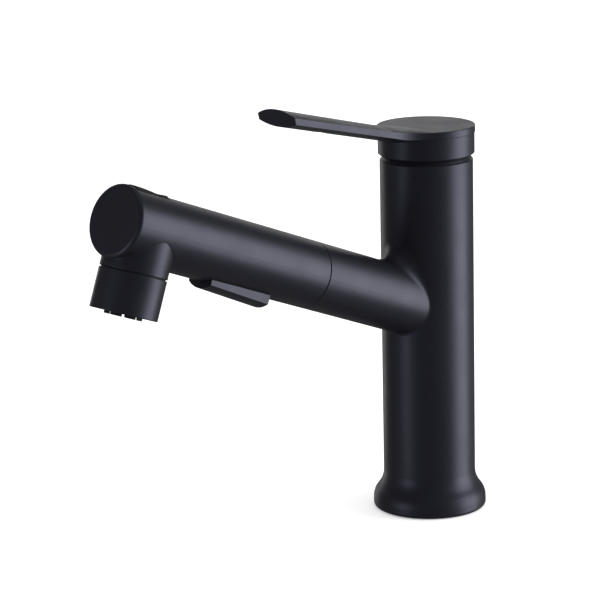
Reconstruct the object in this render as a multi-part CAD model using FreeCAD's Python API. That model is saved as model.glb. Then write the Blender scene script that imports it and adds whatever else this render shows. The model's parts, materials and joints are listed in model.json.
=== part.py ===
"""Single-lever basin mixer with a pull-out spray wand.

Frame: millimetres, +Z up, the origin at the centre of the base on the deck, the spout towards -Y, +X to the right.
Pieces of the spout are drawn in the spout's own frame (x across, y up, z out along the spout) and placed at the end.
"""
import FreeCAD, Part
import math
import os

V = FreeCAD.Vector
OUT = "parts"

# ---------------------------------------------------------------- driving dimensions (mm, degrees)
# clearances
RUN = 0.06                 # a shaft in its bore
SLIDE = 0.15               # sliding pieces
PART_GAP = 0.3             # different bodies' faces
SEAM = 0.35                # visible seams
FACE_GAP = 0.05            # curved faces of one body that seat on each other
SEAM_EDGE = 0.3            # rounding of the edges at the visible seams
SHOULDER_GAP = 0.2         # a fixed piece short of its shoulder
OVER = 1.0                 # how far a cut runs past a face

# column, round a 35 mm cartridge
CART_R = 17.4
COLUMN_TOP_WALL = 5.45     # wall round the cartridge
BODY_TOP = 177.5
BODY_TOP_EDGE = 0.8
BASE_OUT = 5.25            # base's radius over the column's
BASE_EDGE = 1.7
BASE_BAND = 4.3            # height of the straight band above the deck
BASE_SHOULDER_R = 9.2      # convex arc above the band
BASE_FLARE_DEG = 40.0      # steepest lean of the flare
COLUMN_WALL = 4.4          # wall of the hollow below the cartridge

# spout
SPOUT_DROP = 75.9          # column's top to where the spout's axis crosses the column's
SPOUT_RISE_DEG = 20.9
BRANCH_R = 16.3
BRANCH_L = 90.8            # column axis to the socket's mouth, along the spout
BRANCH_FILLET_TOP = 2.0
BRANCH_FILLET_BOTTOM = 9.0
LINER_L = 28.0             # length of the socket's plastic liner
LINER_WALL = 1.4
SOCKET_WALL = 2.3          # branch wall round the liner
LINER_SHOULDER = 2.0       # ledge that the liner stands on

# cartridge: heights are drops from the column's top
SEAT_DROP = 45.5
SEAT_BLOCK = 12.0          # solid metal under the seat
CART_BASE = 6.0
CART_SEAL_W = 1.1          # seal's width round a port
CART_SEAL_H = 1.2
DISC_T = 4.0
HOUSING_WALL = 2.2
DISC_RIM = 2.7             # housing's inside to the fixed disc
MOVING_DISC_INSET = 1.5
MIX_CUP_HALF_W = 5.0       # hollow under the moving disc
MIX_CUP_BACK = 4.0
MIX_CUP_FRONT = 6.0
MIX_CUP_ROOF = 1.5
HOUSING_DROP = 9.5
HOUSING_ROOF = 8.0
NECK_H = 3.0
NECK_WALL = 2.6
CARRIER_INSET = 3.3        # housing's inside to the carrier
CARRIER_DROP = 6.0
CARRIER_LIFT = 1.3         # carrier's flange over the coupler
SLOT_ROOM = 0.6            # carrier's slot round the leaning stem
SLOT_LAP = 3.0             # how far the slot's halves lap the pivot
PIVOT_DROP = 14.5
PIN_R = 1.5
PIN_INSET = 0.8            # pin's end under the carrier's skin
STEM_W = 7.0
STEM_RISE = 12.5           # stem's end above the column's top
STEM_BALL_R = 3.0
STEM_NECK_R = 1.8
STEM_HUB_OUT = 0.7         # hub's radius over half the blade's width
STEM_HUB_ROOM = 0.5        # round the hub, in the carrier
COUPLER_LIP = 2.4          # coupler's top above the ball's centre
STEM_BALL_DROP = 13.5      # ball's centre below the pivot
LIFT_DEG = 22.0            # how far the lever rises
NUT_RING = 4.5             # nut's width round the neck
NUT_H = 8.0
NUT_NOTCHES = 6
NUT_NOTCH_W = 4.0
NUT_NOTCH_H = 2.5
NUT_NOTCH_IN = 1.6         # neck to the notch
NUT_NOTCH_WALL = 1.2       # notch to the nut's outside

# trim dome and handle: heights are rises over the column's top
DOME_STEP = 0.82           # dome's edge inside the column's
DOME_WALL = 1.6
DOME_RISE = 3.0
DOME_FOOT = 1.0            # height of the dome's foot
SKIRT_WALL = 1.4
SKIRT_GAP = 0.1            # skirt over the cartridge's nut
CAP_GAP = 1.7
CAP_OUT = 0.8              # cap's radius over the column's
CAP_EDGE_IN = 0.8          # its lower edge's under the column's
CAP_BEVEL_H = 1.2
CAP_WALL = 1.8
CAP_RISE = 16.6
RIM_OUT = 0.35             # top disc's radius over the cap's
RIM_H = 3.3
RIM_EDGE = 0.35
BOSS_R = 8.0
BOSS_RISE = 4.5
LEVER_HALF_W = 12.35
LEVER_TIP_Y = 101.8        # along -Y
LEVER_RISE_DEG = 13.5
LEVER_BEND = 1.25          # disc's rim to where the lever's line leaves the disc's
LEVER_BEND_SOFT = 4.0
LEVER_FLARE = 8.85         # disc's rim to where the sides start to flare
LEVER_ROOT_SINK = 0.35     # how far its root dips under the disc's top
CROWN_ROOT = 2.3
CROWN_TIP = 3.2
CROWN_UNDER = 2.4
NOTCH_Y = 74.5             # finger notch under the lever, along -Y
NOTCH_R = 17.2
NOTCH_DEPTH = 0.6
GRUB_R = 2.0
GRUB_L = 5.0
GRUB_KEY_R = 1.1           # hexagon's corner
GRUB_KEY_DEPTH = 3.0
PLUG_L = 2.6
PLUG_INSET = 0.1           # plug under the cap's skin

# hose and waterways
HOSE_R = 5.75
HOSE_BORE_R = 3.75
HOSE_BEND_R = 28.0
HOSE_Y = -7.5              # where the hose runs down the column
TUBE_R = 4.0
TUBE_BORE_R = 3.0
SUPPLY_X = 8.4
SUPPLY_Y = 2.8
OUTLET_Y = 9.9
TUBE_SEAT_TOP = 5.0        # depth of a tube's seat in the casting
TUBE_SEAT_LOW = 3.0        # and in the manifold
PORT_R = 4.4               # threaded ports of the manifold
PORT_L = 6.0
GUIDE_WALL = 1.0
GUIDE_LIP = 0.8
SHANK_WALL = 6.65          # column's radius over the hollow shank's thread, in the base
SHANK_L = 10.5             # depth of the threaded mouth, up to the manifold
COUPLING_H = 8.0           # hose's lower coupling, below the hose
COUPLING_NIPPLE = 12.0
COUPLING_THREAD_R = 3.6
COUPLING_THREAD_L = 6.0
COUPLING_BORE_R = 2.2
MANIFOLD_H = 9.0
SEAL_INSET = 3.45          # base's edge to the seal
SEAL_W = 3.3
SEAL_H = 1.4

# wand, along the spout from the column's axis
WAND_LEN = 126.85          # seam at the socket to the end cap's face
WAND_PROUD = 0.02          # wand's radius over the branch's
WAND_WALL = 2.2
WAND_BACK_T = 3.0          # wall at the wand's back
TAIL_GAP = 1.0             # round the docking tail, in the liner
TAIL_WALL = 4.25
TAIL_BORE_R = 6.0
TAIL_FLANGE = 3.0
TAIL_NECK_IN = 2.6         # tail's outside to its neck's
WAND_TAIL_L = 25.0
O_RING_BACK = 8.0          # tail's end to its O-ring
O_RING_W = 2.0
O_RING_SQUEEZE = 0.35      # O-ring's outside to the liner
HOSE_NUT_L = 8.0
HOSE_NUT_BACK = 1.0
END_CAP_LIP = 0.68         # end cap's radius over the wand's
END_CAP_T = 2.4
END_CAP_EDGE = 2.0
PLUG_WALL = 1.6            # end cap's spigot in the wand
PLUG_DEPTH = 1.9
NOZZLE_FRONT = 2.95        # nozzle's skin to the end cap's face
NOZZLE_STEP = 0.62         # nozzle's radius under the wand's
COLLAR_STEP = 3.88         # wand's skin to the groove
COLLAR_FILLET = 0.8        # where the collar leaves the wand
COLLAR_WALL = 2.4
RING_LEN = 19.2            # groove to the nozzle's mouth
GROOVE = 0.5
RING_WALL = 1.8
RING_WEB = 1.2
SPIGOT_L = 3.6             # ring's spigot inside the collar
SEAL_SHOW = 0.9            # groove's depth round the seal
FACE_RECESS = 1.6
FACE_T = 3.0
AERATOR_R = 8.8
AERATOR_STAND = 1.3        # how far the crown stands below the ring
AERATOR_WALL = 1.8
BARREL_IN = 0.9            # crown's skin to the barrel's seat
AERATOR_BARREL = 4.0       # barrel behind the spray plate
AERATOR_WEB = 1.0
AERATOR_HOLES = 6
AERATOR_HOLE_R = 1.0
AERATOR_HOLE_CIRCLE = 4.0
SCREEN_T = 0.6
SCREEN_INSET = 0.4
SCREEN_PITCH = 2.2
SCREEN_HOLE_HALF = 0.8
AERATOR_TEETH = 8
TOOTH_WALL = 0.8
TOOTH_ROOT = 0.3           # slots' ends inside the ring
TOOTH_GAP_DEG = 11.0
NUB_R = 0.9
NUB_TIP_R = 0.6
NUB_JET_R = 0.35
NUB_H = 1.0
NUBS = 18
NUB_INSET = 4.1            # nozzle's outside to the circle of nubs

# finger grip
GRIP_HALF_W = 7.5
GRIP_START = 27.8          # socket's mouth to the grip
GRIP_LEN = 39.1
GRIP_STEP_FRONT = 0.68     # wand's skin to the side faces' lower edge
GRIP_STEP_REAR = 2.58
GRIP_CROWN = 2.6
GRIP_PLAN = 0.62           # radius of its ends, as a share of its length
GRIP_SCREW_R = 1.25
GRIP_HEAD_R = 2.4
GRIP_HEAD_H = 1.7

# spray rocker
ROCKER_SETBACK = 4.9       # end cap's face to the rocker's front
ROCKER_LEN = 19.6
ROCKER_HALF_W = 5.6
ROCKER_CROWN_R = 8.5       # across its top
ROCKER_PROUD = 1.1         # its front edge over the wand's skin
ROCKER_PIVOT_BACK = 11.1   # rocker's front to its pin
ROCKER_PIVOT_IN = 3.72     # pin's axis under the wand's skin
ROCKER_SKIRT = 1.92        # its underside under the wand's skin
ROCKER_SWING_GAP = 0.7     # ahead of the rocker, for its swing
ROCKER_PIN_R = 1.0
ROCKER_PIN_SKIN = 0.35     # skin left over the pin's end
ROCKER_PIN_PLAY = 0.2      # past each end of the pin
ROCKER_HUB_R = 2.2
ROCKER_HUB_HALF = 2.6
ROCKER_WEB_HALF = 2.0
LUG_END = 1.4              # lug's end above the spool's axis
LUG_HALF_W = 1.0
LUG_HALF_T = 0.9
LUG_SLOT = 0.4             # round the lug, in the spool
SPOOL_R = 2.6
SPOOL_BACK = 14.0          # spool's ends from the rocker's pin
SPOOL_FRONT = 7.0
SPOOL_RING_BACK = 9.0
SPOOL_RING_FRONT = 4.5
SPOOL_RING_W = 1.6
SPOOL_GROOVE_W = 2.0
SPOOL_GROOVE_DEPTH = 0.8

# waterways inside the wand, from the wand's back wall
WATER_TUBE_R = 6.0
WATER_TUBE_BORE_R = 4.4
WATER_TUBE_START = 0.1
FILTER_PLACE = 2.0
FILTER_T = 0.8
VALVE_R = 4.35             # valve's pieces in the tube
VALVE_PLACE = 12.0         # check valve's seat
VALVE_SEAT_BORE_R = 2.2
VALVE_SEAT_T = 2.0
POPPET_R = 3.2
POPPET_T = 1.35
POPPET_STEM_R = 1.0
POPPET_END = 9.0           # stem's end from the seat
VALVE_GUIDE_PLACE = 7.0
VALVE_GUIDE_T = 1.4
VALVE_HOLE_R = 0.9
VALVE_HOLE_CIRCLE = 2.75
SPRING_R = 1.9
SPRING_WIRE_R = 0.25
SPRING_START = 3.7
SPRING_END = 6.7
SPRING_TURNS = 4
BLOCK_BACK = 14.0          # rocker's rear to the diverter block's back
BLOCK_GAP = 0.2
BLOCK_NOZZLE_IN = 2.6      # nozzle's skin to the block's leg
BLOCK_LEG_SHORT = 4.0
BLOCK_INLET_L = 8.0
POCKET_ROOM = 0.8          # round the rocker, in the block
POCKET_FLOOR = 4.0
STREAM_R = 3.0             # passage to the aerator
SPRAY_R = 1.6              # passages to the spray chamber
SPRAY_X = 8.0
LUG_ROOM = 1.7             # round the lug's swing, in the block
LUG_SIDE = 0.6             # and beside it
SPOOL_NOTCH_FLOOR = 0.2    # above the spool's axis
SPOOL_BORE_SHORT = 1.1     # rocker's front to the end of the spool's bore

# ---------------------------------------------------------------- derived
CART_BORE_R = CART_R + SLIDE
BODY_R = CART_BORE_R + COLUMN_TOP_WALL
BASE_R = BODY_R + BASE_OUT
COLUMN_BORE_R = BODY_R - COLUMN_WALL
SHANK_R = BODY_R - SHANK_WALL
MANIFOLD_Z = SHANK_L

SEAT_Z = BODY_TOP - SEAT_DROP
COLUMN_ROOF = SEAT_Z - SEAT_BLOCK
HOUSING_TOP = BODY_TOP - HOUSING_DROP
HOUSING_IN_R = CART_R - HOUSING_WALL
FIXED_DISC_R = HOUSING_IN_R - DISC_RIM
MOVING_DISC_R = FIXED_DISC_R - MOVING_DISC_INSET
CARRIER_R = HOUSING_IN_R - CARRIER_INSET
CARRIER_TOP = BODY_TOP - CARRIER_DROP
NECK_R = CARRIER_R + NECK_WALL
NUT_R = NECK_R + NUT_RING
PIVOT_Z = BODY_TOP - PIVOT_DROP
BALL_Z = PIVOT_Z - STEM_BALL_DROP
STEM_TOP = BODY_TOP + STEM_RISE

DOME_R = math.hypot(BODY_R - DOME_STEP, PIVOT_DROP)
DOME_TOP = BODY_TOP + DOME_RISE
CAP_BOTTOM = BODY_TOP + CAP_GAP
CAP_R = BODY_R + CAP_OUT
CAP_EDGE_R = BODY_R - CAP_EDGE_IN
CAP_TOP = BODY_TOP + CAP_RISE
RIM_R = CAP_R + RIM_OUT
BOSS_BOTTOM = BODY_TOP + BOSS_RISE
LEVER_BEND_Y = RIM_R + LEVER_BEND
LEVER_FLARE_Y = RIM_R + LEVER_FLARE

RISE = math.radians(SPOUT_RISE_DEG)
SPOUT_Z = BODY_TOP - SPOUT_DROP
SPOUT = FreeCAD.Placement(V(0, 0, SPOUT_Z), FreeCAD.Rotation(V(1, 0, 0), 90 - SPOUT_RISE_DEG))
X_AXIS = V(1, 0, 0)
Y_AXIS = V(0, 1, 0)
Z_AXIS = V(0, 0, 1)
LINER_R = BRANCH_R - SOCKET_WALL
LINER_BORE_R = LINER_R - LINER_WALL
BRANCH_BORE_R = LINER_R - LINER_SHOULDER

WAND_R = BRANCH_R + WAND_PROUD
WAND_IN_R = WAND_R - WAND_WALL
WAND_L = BRANCH_L + SEAM
WAND_TAIL_R = LINER_BORE_R - TAIL_GAP
END_CAP_L = WAND_L + WAND_LEN
END_CAP_R = WAND_R + END_CAP_LIP
NOZZLE_R = WAND_R - NOZZLE_STEP
NOZZLE_L = END_CAP_L - NOZZLE_R - NOZZLE_FRONT
COLLAR_DEPTH = WAND_R + COLLAR_STEP
RING_BOTTOM = COLLAR_DEPTH + RING_LEN
NUB_CIRCLE_R = NOZZLE_R - NUB_INSET
BARREL_R = AERATOR_R - BARREL_IN
GRIP_REAR_L = BRANCH_L + GRIP_START
GRIP_FRONT_L = GRIP_REAR_L + GRIP_LEN
GRIP_DEPTH_FRONT = WAND_R + GRIP_STEP_FRONT
GRIP_DEPTH_REAR = WAND_R + GRIP_STEP_REAR
ROCKER_FRONT_L = END_CAP_L - ROCKER_SETBACK
ROCKER_REAR_L = ROCKER_FRONT_L - ROCKER_LEN
ROCKER_PIVOT_L = ROCKER_FRONT_L - ROCKER_PIVOT_BACK
ROCKER_PIVOT_UP = WAND_R - ROCKER_PIVOT_IN
ROCKER_HOLE_R = ROCKER_PIN_R + FACE_GAP
ROCKER_HOLE_HALF = math.sqrt(WAND_R ** 2 - (ROCKER_PIVOT_UP + ROCKER_HOLE_R) ** 2) - ROCKER_PIN_SKIN
COLLAR_BORE_R = NOZZLE_R - COLLAR_WALL
SPIGOT_R = COLLAR_BORE_R - FACE_GAP
SPIGOT_BORE_R = SPIGOT_R - RING_WALL
TUBE_PLACES = {
    "hot_supply_tube": (-SUPPLY_X, SUPPLY_Y),
    "cold_supply_tube": (SUPPLY_X, SUPPLY_Y),
    "mixed_water_tube": (0.0, OUTLET_Y),
}
made = {}


# ---------------------------------------------------------------- helpers
def cyl(r, z0, z1, x=0.0, y=0.0):
    return Part.makeCylinder(r, z1 - z0, V(x, y, z0))


def ring(r_out, r_in, z0, z1, x=0.0, y=0.0):
    over = 1.0
    return cyl(r_out, z0, z1, x, y).cut(cyl(r_in, z0 - over, z1 + over, x, y))


def along_x(r, x0, x1, y, z):
    return Part.makeCylinder(r, x1 - x0, V(x0, y, z), X_AXIS)


def down_y(r, y0, y1, z, x=0.0):
    """A cylinder pointing down (-y) in the spout's frame, from depth y0 to depth y1."""
    return Part.makeCylinder(r, y1 - y0, V(x, -y0, z), V(0, -1, 0))


def box(x0, x1, y0, y1, z0, z1):
    return Part.makeBox(x1 - x0, y1 - y0, z1 - z0, V(x0, y0, z0))


def revolve(points):
    """A closed (r, z) outline turned about Z; a point may be a Part edge instead, for arcs."""
    edges = []
    last = None
    for p in points + points[:1]:
        if isinstance(p, tuple):
            here = V(p[0], 0, p[1])
            if last is not None and (here - last).Length > 1e-6:
                edges.append(Part.makeLine(last, here))
            last = here
        else:
            start = p.valueAt(p.FirstParameter)
            if last is not None and (start - last).Length > 1e-6:
                edges.append(Part.makeLine(last, start))
            edges.append(p)
            last = p.valueAt(p.LastParameter)
    wire = Part.Wire(Part.__sortEdges__(edges))
    return Part.Face(wire).revolve(V(0, 0, 0), Z_AXIS, 360)


def arc(p, q, s):
    """Arc through three (r, z) points."""
    return Part.Arc(V(p[0], 0, p[1]), V(q[0], 0, q[1]), V(s[0], 0, s[1])).toShape()


def fuse(shapes):
    result = shapes[0]
    for s in shapes[1:]:
        result = result.fuse(s)
    return result.removeSplitter()


def edges_where(shape, test):
    return [e for e in shape.Edges if test(e)]


def round_rims(solid, r, *centres):
    """Round the circular edges of a turned solid that lie about the given centres."""
    def about(edge, centre):
        return isinstance(edge.Curve, Part.Circle) and (edge.Curve.Center - centre).Length < 1e-3

    rims = edges_where(solid, lambda e: any(about(e, c) for c in centres))
    return solid.makeFillet(r, rims)


def keep(name, shape, place=None):
    """Store one node; place moves it from the spout's frame to the row's."""
    shape = shape.copy()
    if place is not None:
        shape.Placement = place.multiply(shape.Placement)
    made[name] = shape


# ---------------------------------------------------------------- body
def base_profile():
    """Outer outline of the column from the deck up, as edges and points."""
    lean = math.radians(BASE_FLARE_DEG)
    flat = 1 - math.cos(lean)
    hollow_r = ((BASE_R - BODY_R) - BASE_SHOULDER_R * flat) / flat
    mid = (BASE_R - BASE_SHOULDER_R * flat, BASE_BAND + BASE_SHOULDER_R * math.sin(lean))
    end_z = mid[1] + hollow_r * math.sin(lean)
    half = lean / 2

    def shoulder(a):
        return (BASE_R - BASE_SHOULDER_R * (1 - math.cos(a)), BASE_BAND + BASE_SHOULDER_R * math.sin(a))

    def hollow(a):
        return (BODY_R + hollow_r * (1 - math.cos(a)), end_z - hollow_r * math.sin(a))

    k = BASE_EDGE * (1 - math.sqrt(0.5))
    t = BODY_TOP_EDGE * (1 - math.sqrt(0.5))
    return [
        (0, 0),
        arc((BASE_R - BASE_EDGE, 0), (BASE_R - k, k), (BASE_R, BASE_EDGE)),
        arc(shoulder(0), shoulder(half), shoulder(lean)),
        arc(hollow(lean), hollow(half), hollow(0)),
        arc((BODY_R, BODY_TOP - BODY_TOP_EDGE), (BODY_R - t, BODY_TOP - t), (BODY_R - BODY_TOP_EDGE, BODY_TOP)),
        (0, BODY_TOP),
    ]


def body_outside():
    column = revolve(base_profile())
    branch = round_rims(cyl(BRANCH_R, 0, BRANCH_L), SEAM_EDGE, V(0, 0, BRANCH_L))
    branch.Placement = SPOUT
    whole = column.fuse(branch)
    big = 300.0
    half = whole.common(box(0, big, -big, big, -big, big))

    def meets(edge):
        points = edge.discretize(7)
        for p in points:
            q = SPOUT.inverse().multVec(p)
            if abs(math.hypot(p.x, p.y) - BODY_R) > 0.05 or abs(math.hypot(q.x, q.y) - BRANCH_R) > 0.05:
                return False
        return edge.Length > BRANCH_R

    seam = edges_where(half, meets)
    ends = [seam[0].valueAt(seam[0].FirstParameter), seam[0].valueAt(seam[0].LastParameter)]
    top_first = ends[0].z > ends[1].z
    if seam[0].Orientation == "Reversed":
        top_first = not top_first
    radii = (BRANCH_FILLET_TOP, BRANCH_FILLET_BOTTOM)
    if not top_first:
        radii = radii[::-1]
    rounded = half.makeFillet(radii[0], radii[1], seam)
    if rounded.BoundBox.ZMin < -1 or not rounded.isValid():
        raise ValueError("the branch's fillet failed")
    return rounded.fuse(rounded.mirror(V(0, 0, 0), X_AXIS)).removeSplitter()


def body_casting():
    hollow = cyl(COLUMN_BORE_R, MANIFOLD_Z, COLUMN_ROOF)
    socket = cyl(BRANCH_BORE_R, 10.0, BRANCH_L + 1)
    liner_seat = cyl(LINER_R, BRANCH_L - LINER_L, BRANCH_L + 1)
    for s in (socket, liner_seat):
        s.Placement = SPOUT
    body = body_outside().cut(hollow).cut(socket).cut(liner_seat)
    body = body.cut(cyl(SHANK_R, -1, SHANK_L + 1))
    body = body.cut(cyl(CART_BORE_R, SEAT_Z, BODY_TOP + 1))
    body = body.cut(cyl(NUT_R, HOUSING_TOP - 1.0, BODY_TOP + 1))
    seal_r = BASE_R - SEAL_INSET
    body = body.cut(ring(seal_r, seal_r - SEAL_W, -1, SEAL_H))
    for x, y in TUBE_PLACES.values():
        body = body.cut(cyl(TUBE_BORE_R, COLUMN_ROOF - 1, SEAT_Z + 1, x, y))
        body = body.cut(cyl(TUBE_R + FACE_GAP, COLUMN_ROOF - OVER, COLUMN_ROOF + TUBE_SEAT_TOP, x, y))
    keep("body_casting", body)
    keep("base_seal", ring(seal_r, seal_r - SEAL_W, 0.0, SEAL_H))


def waterways():
    """Manifold in the base, three tubes to the cartridge's seat and the hose's guide."""
    z0 = MANIFOLD_Z
    z1 = z0 + MANIFOLD_H
    plate = cyl(COLUMN_BORE_R, z0, z1)
    guide_r = HOSE_R + SLIDE + GUIDE_WALL
    plate = plate.cut(cyl(guide_r, z0 - 1, z1 + 1, 0, HOSE_Y))
    for x, y in TUBE_PLACES.values():
        plate = plate.cut(cyl(PORT_R, z0 - OVER, z0 + PORT_L, x, y))
        plate = plate.cut(cyl(TUBE_BORE_R, z0, z1 + 1, x, y))
        plate = plate.cut(cyl(TUBE_R + FACE_GAP, z1 - TUBE_SEAT_LOW, z1 + OVER, x, y))
    keep("inlet_manifold", plate)
    for name, (x, y) in TUBE_PLACES.items():
        keep(name, ring(TUBE_R, TUBE_BORE_R, z1 - TUBE_SEAT_LOW, COLUMN_ROOF + TUBE_SEAT_TOP, x, y))
    guide = ring(guide_r, HOSE_R + SLIDE, z0, z1 + GUIDE_LIP, 0, HOSE_Y)
    lip = ring(guide_r + GUIDE_LIP, HOSE_R + SLIDE, z1, z1 + GUIDE_LIP, 0, HOSE_Y)
    keep("hose_guide", fuse([guide, lip]))


def socket_liner():
    z0 = BRANCH_L - LINER_L
    liner = ring(LINER_R, LINER_BORE_R, z0, BRANCH_L - 0.2)
    stop = ring(LINER_R, WAND_TAIL_R - 2.2, z0, z0 + 1.6)
    keep("socket_liner", fuse([liner, stop]), SPOUT)


# ---------------------------------------------------------------- hose
def hose_path():
    """Straight along the branch, one arc, straight down the column."""
    turn = math.radians(90 - SPOUT_RISE_DEG)
    tangent = HOSE_BEND_R * math.tan(turn / 2)
    corner_l = -HOSE_Y / math.cos(RISE)
    z_corner = SPOUT_Z + corner_l * math.sin(RISE)
    start = SPOUT.multVec(V(0, 0, WAND_L - WAND_TAIL_L + PART_GAP))
    bend_in = SPOUT.multVec(V(0, 0, corner_l + tangent))
    bend_out = V(0, HOSE_Y, z_corner - tangent)
    centre = bend_out + V(0, -HOSE_BEND_R, 0)
    middle = V(0, HOSE_Y, z_corner) - centre
    middle = centre + middle.normalize().multiply(HOSE_BEND_R)
    end = V(0, HOSE_Y, MANIFOLD_Z + COUPLING_H)
    path = Part.Wire(
        [
            Part.makeLine(start, bend_in),
            Part.Arc(bend_in, middle, bend_out).toShape(),
            Part.makeLine(bend_out, end),
        ]
    )
    print("hose path length", round(path.Length, 2), "bend radius", HOSE_BEND_R)
    return path, start, end


def hose():
    path, start, end = hose_path()
    direction = SPOUT.Rotation.multVec(V(0, 0, -1))
    outer = Part.Wire([Part.makeCircle(HOSE_R, start, direction)])
    inner = Part.Wire([Part.makeCircle(HOSE_BORE_R, start, direction)])
    tube = path.makePipeShell([outer], True, False).cut(path.makePipeShell([inner], True, False))
    keep("spray_hose", tube)
    nut = ring(HOSE_R - 0.2, COUPLING_THREAD_R, MANIFOLD_Z, MANIFOLD_Z + COUPLING_THREAD_L, 0, HOSE_Y)
    collar = ring(HOSE_R - 0.2, COUPLING_BORE_R, MANIFOLD_Z + COUPLING_THREAD_L, end.z, 0, HOSE_Y)
    nipple = ring(HOSE_BORE_R, COUPLING_BORE_R, end.z, end.z + COUPLING_NIPPLE, 0, HOSE_Y)
    keep("hose_coupling", fuse([nut, collar, nipple]))


# ---------------------------------------------------------------- cartridge
def cartridge():
    z = SEAT_Z
    base = cyl(CART_R, z, z + CART_BASE)
    for x, y in TUBE_PLACES.values():
        base = base.cut(cyl(TUBE_BORE_R, z - OVER, z + CART_BASE + OVER, x, y))
    groove_r = TUBE_BORE_R + CART_SEAL_W
    seals = []
    for x, y in TUBE_PLACES.values():
        base = base.cut(ring(groove_r, TUBE_BORE_R, z - OVER, z + CART_SEAL_H, x, y))
        seals.append(ring(groove_r, TUBE_BORE_R, z, z + CART_SEAL_H, x, y))
    keep("cartridge_base", base)
    keep("cartridge_seals", Part.makeCompound(seals))

    z += CART_BASE
    fixed = cyl(FIXED_DISC_R, z, z + DISC_T)
    for x, y in TUBE_PLACES.values():
        fixed = fixed.cut(cyl(TUBE_BORE_R, z - OVER, z + DISC_T + OVER, x, y))
    keep("fixed_ceramic_disc", fixed)

    shell = cyl(CART_R, z, HOUSING_TOP).cut(cyl(HOUSING_IN_R, z - 1, HOUSING_TOP - HOUSING_ROOF))
    shell = shell.fuse(cyl(NECK_R, HOUSING_TOP, HOUSING_TOP + NECK_H))
    shell = shell.cut(cyl(CARRIER_R + RUN, z, HOUSING_TOP + NECK_H + 1))
    fixed_rim = ring(HOUSING_IN_R, FIXED_DISC_R + FACE_GAP, z, z + DISC_T - SHOULDER_GAP)
    keep("cartridge_housing", fuse([shell, fixed_rim]))
    disc_z = z + DISC_T
    travel = STEM_BALL_DROP * math.radians(LIFT_DEG)
    offset = travel / 2
    moving = cyl(MOVING_DISC_R, disc_z, disc_z + DISC_T, 0, offset)
    moving = moving.cut(box(
        -MIX_CUP_HALF_W, MIX_CUP_HALF_W, offset - MIX_CUP_BACK, offset + MIX_CUP_FRONT,
        disc_z - OVER, disc_z + DISC_T - MIX_CUP_ROOF,
    ))
    keep("moving_ceramic_disc", moving)
    socket_r = STEM_BALL_R + PART_GAP
    coupler = cyl(MOVING_DISC_R, disc_z + DISC_T, BALL_Z + COUPLER_LIP, 0, offset)
    coupler = coupler.cut(cyl(socket_r, BALL_Z - socket_r, BALL_Z + COUPLER_LIP + OVER))
    keep("disc_coupler", coupler)

    flange_z = BALL_Z + COUPLER_LIP + CARRIER_LIFT
    carrier = cyl(HOUSING_IN_R - PART_GAP, flange_z, HOUSING_TOP - HOUSING_ROOF - SLIDE)
    carrier = carrier.fuse(cyl(CARRIER_R, flange_z, CARRIER_TOP))
    half_x = STEM_W / 2 + SLIDE
    lean = math.tan(math.radians(LIFT_DEG))
    room = STEM_W / 2 + PART_GAP
    up_y = room + (CARRIER_TOP - PIVOT_Z + OVER) * lean + SLOT_ROOM
    low_y = room + (PIVOT_Z - flange_z + OVER) * lean + SLOT_ROOM
    hub_r = STEM_W / 2 + STEM_HUB_OUT
    slot = box(-half_x, half_x, -room, up_y, PIVOT_Z - SLOT_LAP, CARRIER_TOP + OVER)
    slot = slot.fuse(box(-half_x, half_x, -low_y, room, flange_z - OVER, PIVOT_Z + SLOT_LAP))
    slot = slot.fuse(along_x(hub_r + STEM_HUB_ROOM, -half_x, half_x, 0, PIVOT_Z))
    carrier = carrier.cut(slot).cut(along_x(PIN_R, -NECK_R, NECK_R, 0, PIVOT_Z))
    keep("stem_carrier", carrier.removeSplitter())
    pin_half = CARRIER_R - PIN_INSET
    keep("stem_pivot_pin", along_x(PIN_R, -pin_half, pin_half, 0, PIVOT_Z))

    blade = box(-STEM_W / 2, STEM_W / 2, -STEM_W / 2, STEM_W / 2, PIVOT_Z, STEM_TOP)
    hub = along_x(hub_r, -STEM_W / 2, STEM_W / 2, 0, PIVOT_Z)
    shank = cyl(STEM_NECK_R, BALL_Z, PIVOT_Z)
    ball = Part.makeSphere(STEM_BALL_R, V(0, 0, BALL_Z))
    stem = fuse([blade, hub, shank, ball]).cut(along_x(PIN_R + RUN, -NECK_R, NECK_R, 0, PIVOT_Z))
    keep("lever_stem", stem)

    nut_top = HOUSING_TOP + NUT_H
    nut = ring(NUT_R, NECK_R + SHOULDER_GAP, HOUSING_TOP, nut_top)
    for i in range(NUT_NOTCHES):
        notch = box(
            NECK_R + NUT_NOTCH_IN, NUT_R - NUT_NOTCH_WALL, -NUT_NOTCH_W / 2, NUT_NOTCH_W / 2,
            nut_top - NUT_NOTCH_H, nut_top + OVER,
        )
        notch.rotate(V(0, 0, 0), Z_AXIS, 360 / NUT_NOTCHES * i)
        nut = nut.cut(notch)
    keep("cartridge_nut", nut)


def trim_dome():
    """A zone of a sphere about the lever's pivot, so the cap swings over it with an even gap."""
    outer = Part.makeSphere(DOME_R, V(0, 0, PIVOT_Z))
    inner = Part.makeSphere(DOME_R - DOME_WALL, V(0, 0, PIVOT_Z))
    shell = outer.cut(inner).common(cyl(DOME_R, BODY_TOP, DOME_TOP))
    skirt_r = NUT_R - SLIDE
    foot_top = BODY_TOP + DOME_FOOT
    skirt = ring(skirt_r, skirt_r - SKIRT_WALL, HOUSING_TOP + NUT_H + SKIRT_GAP, foot_top)
    foot_r = math.sqrt(DOME_R ** 2 - (foot_top - PIVOT_Z) ** 2)
    foot = ring(foot_r, skirt_r - SKIRT_WALL, BODY_TOP, foot_top)
    keep("trim_dome", fuse([shell, foot, skirt]))


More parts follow.
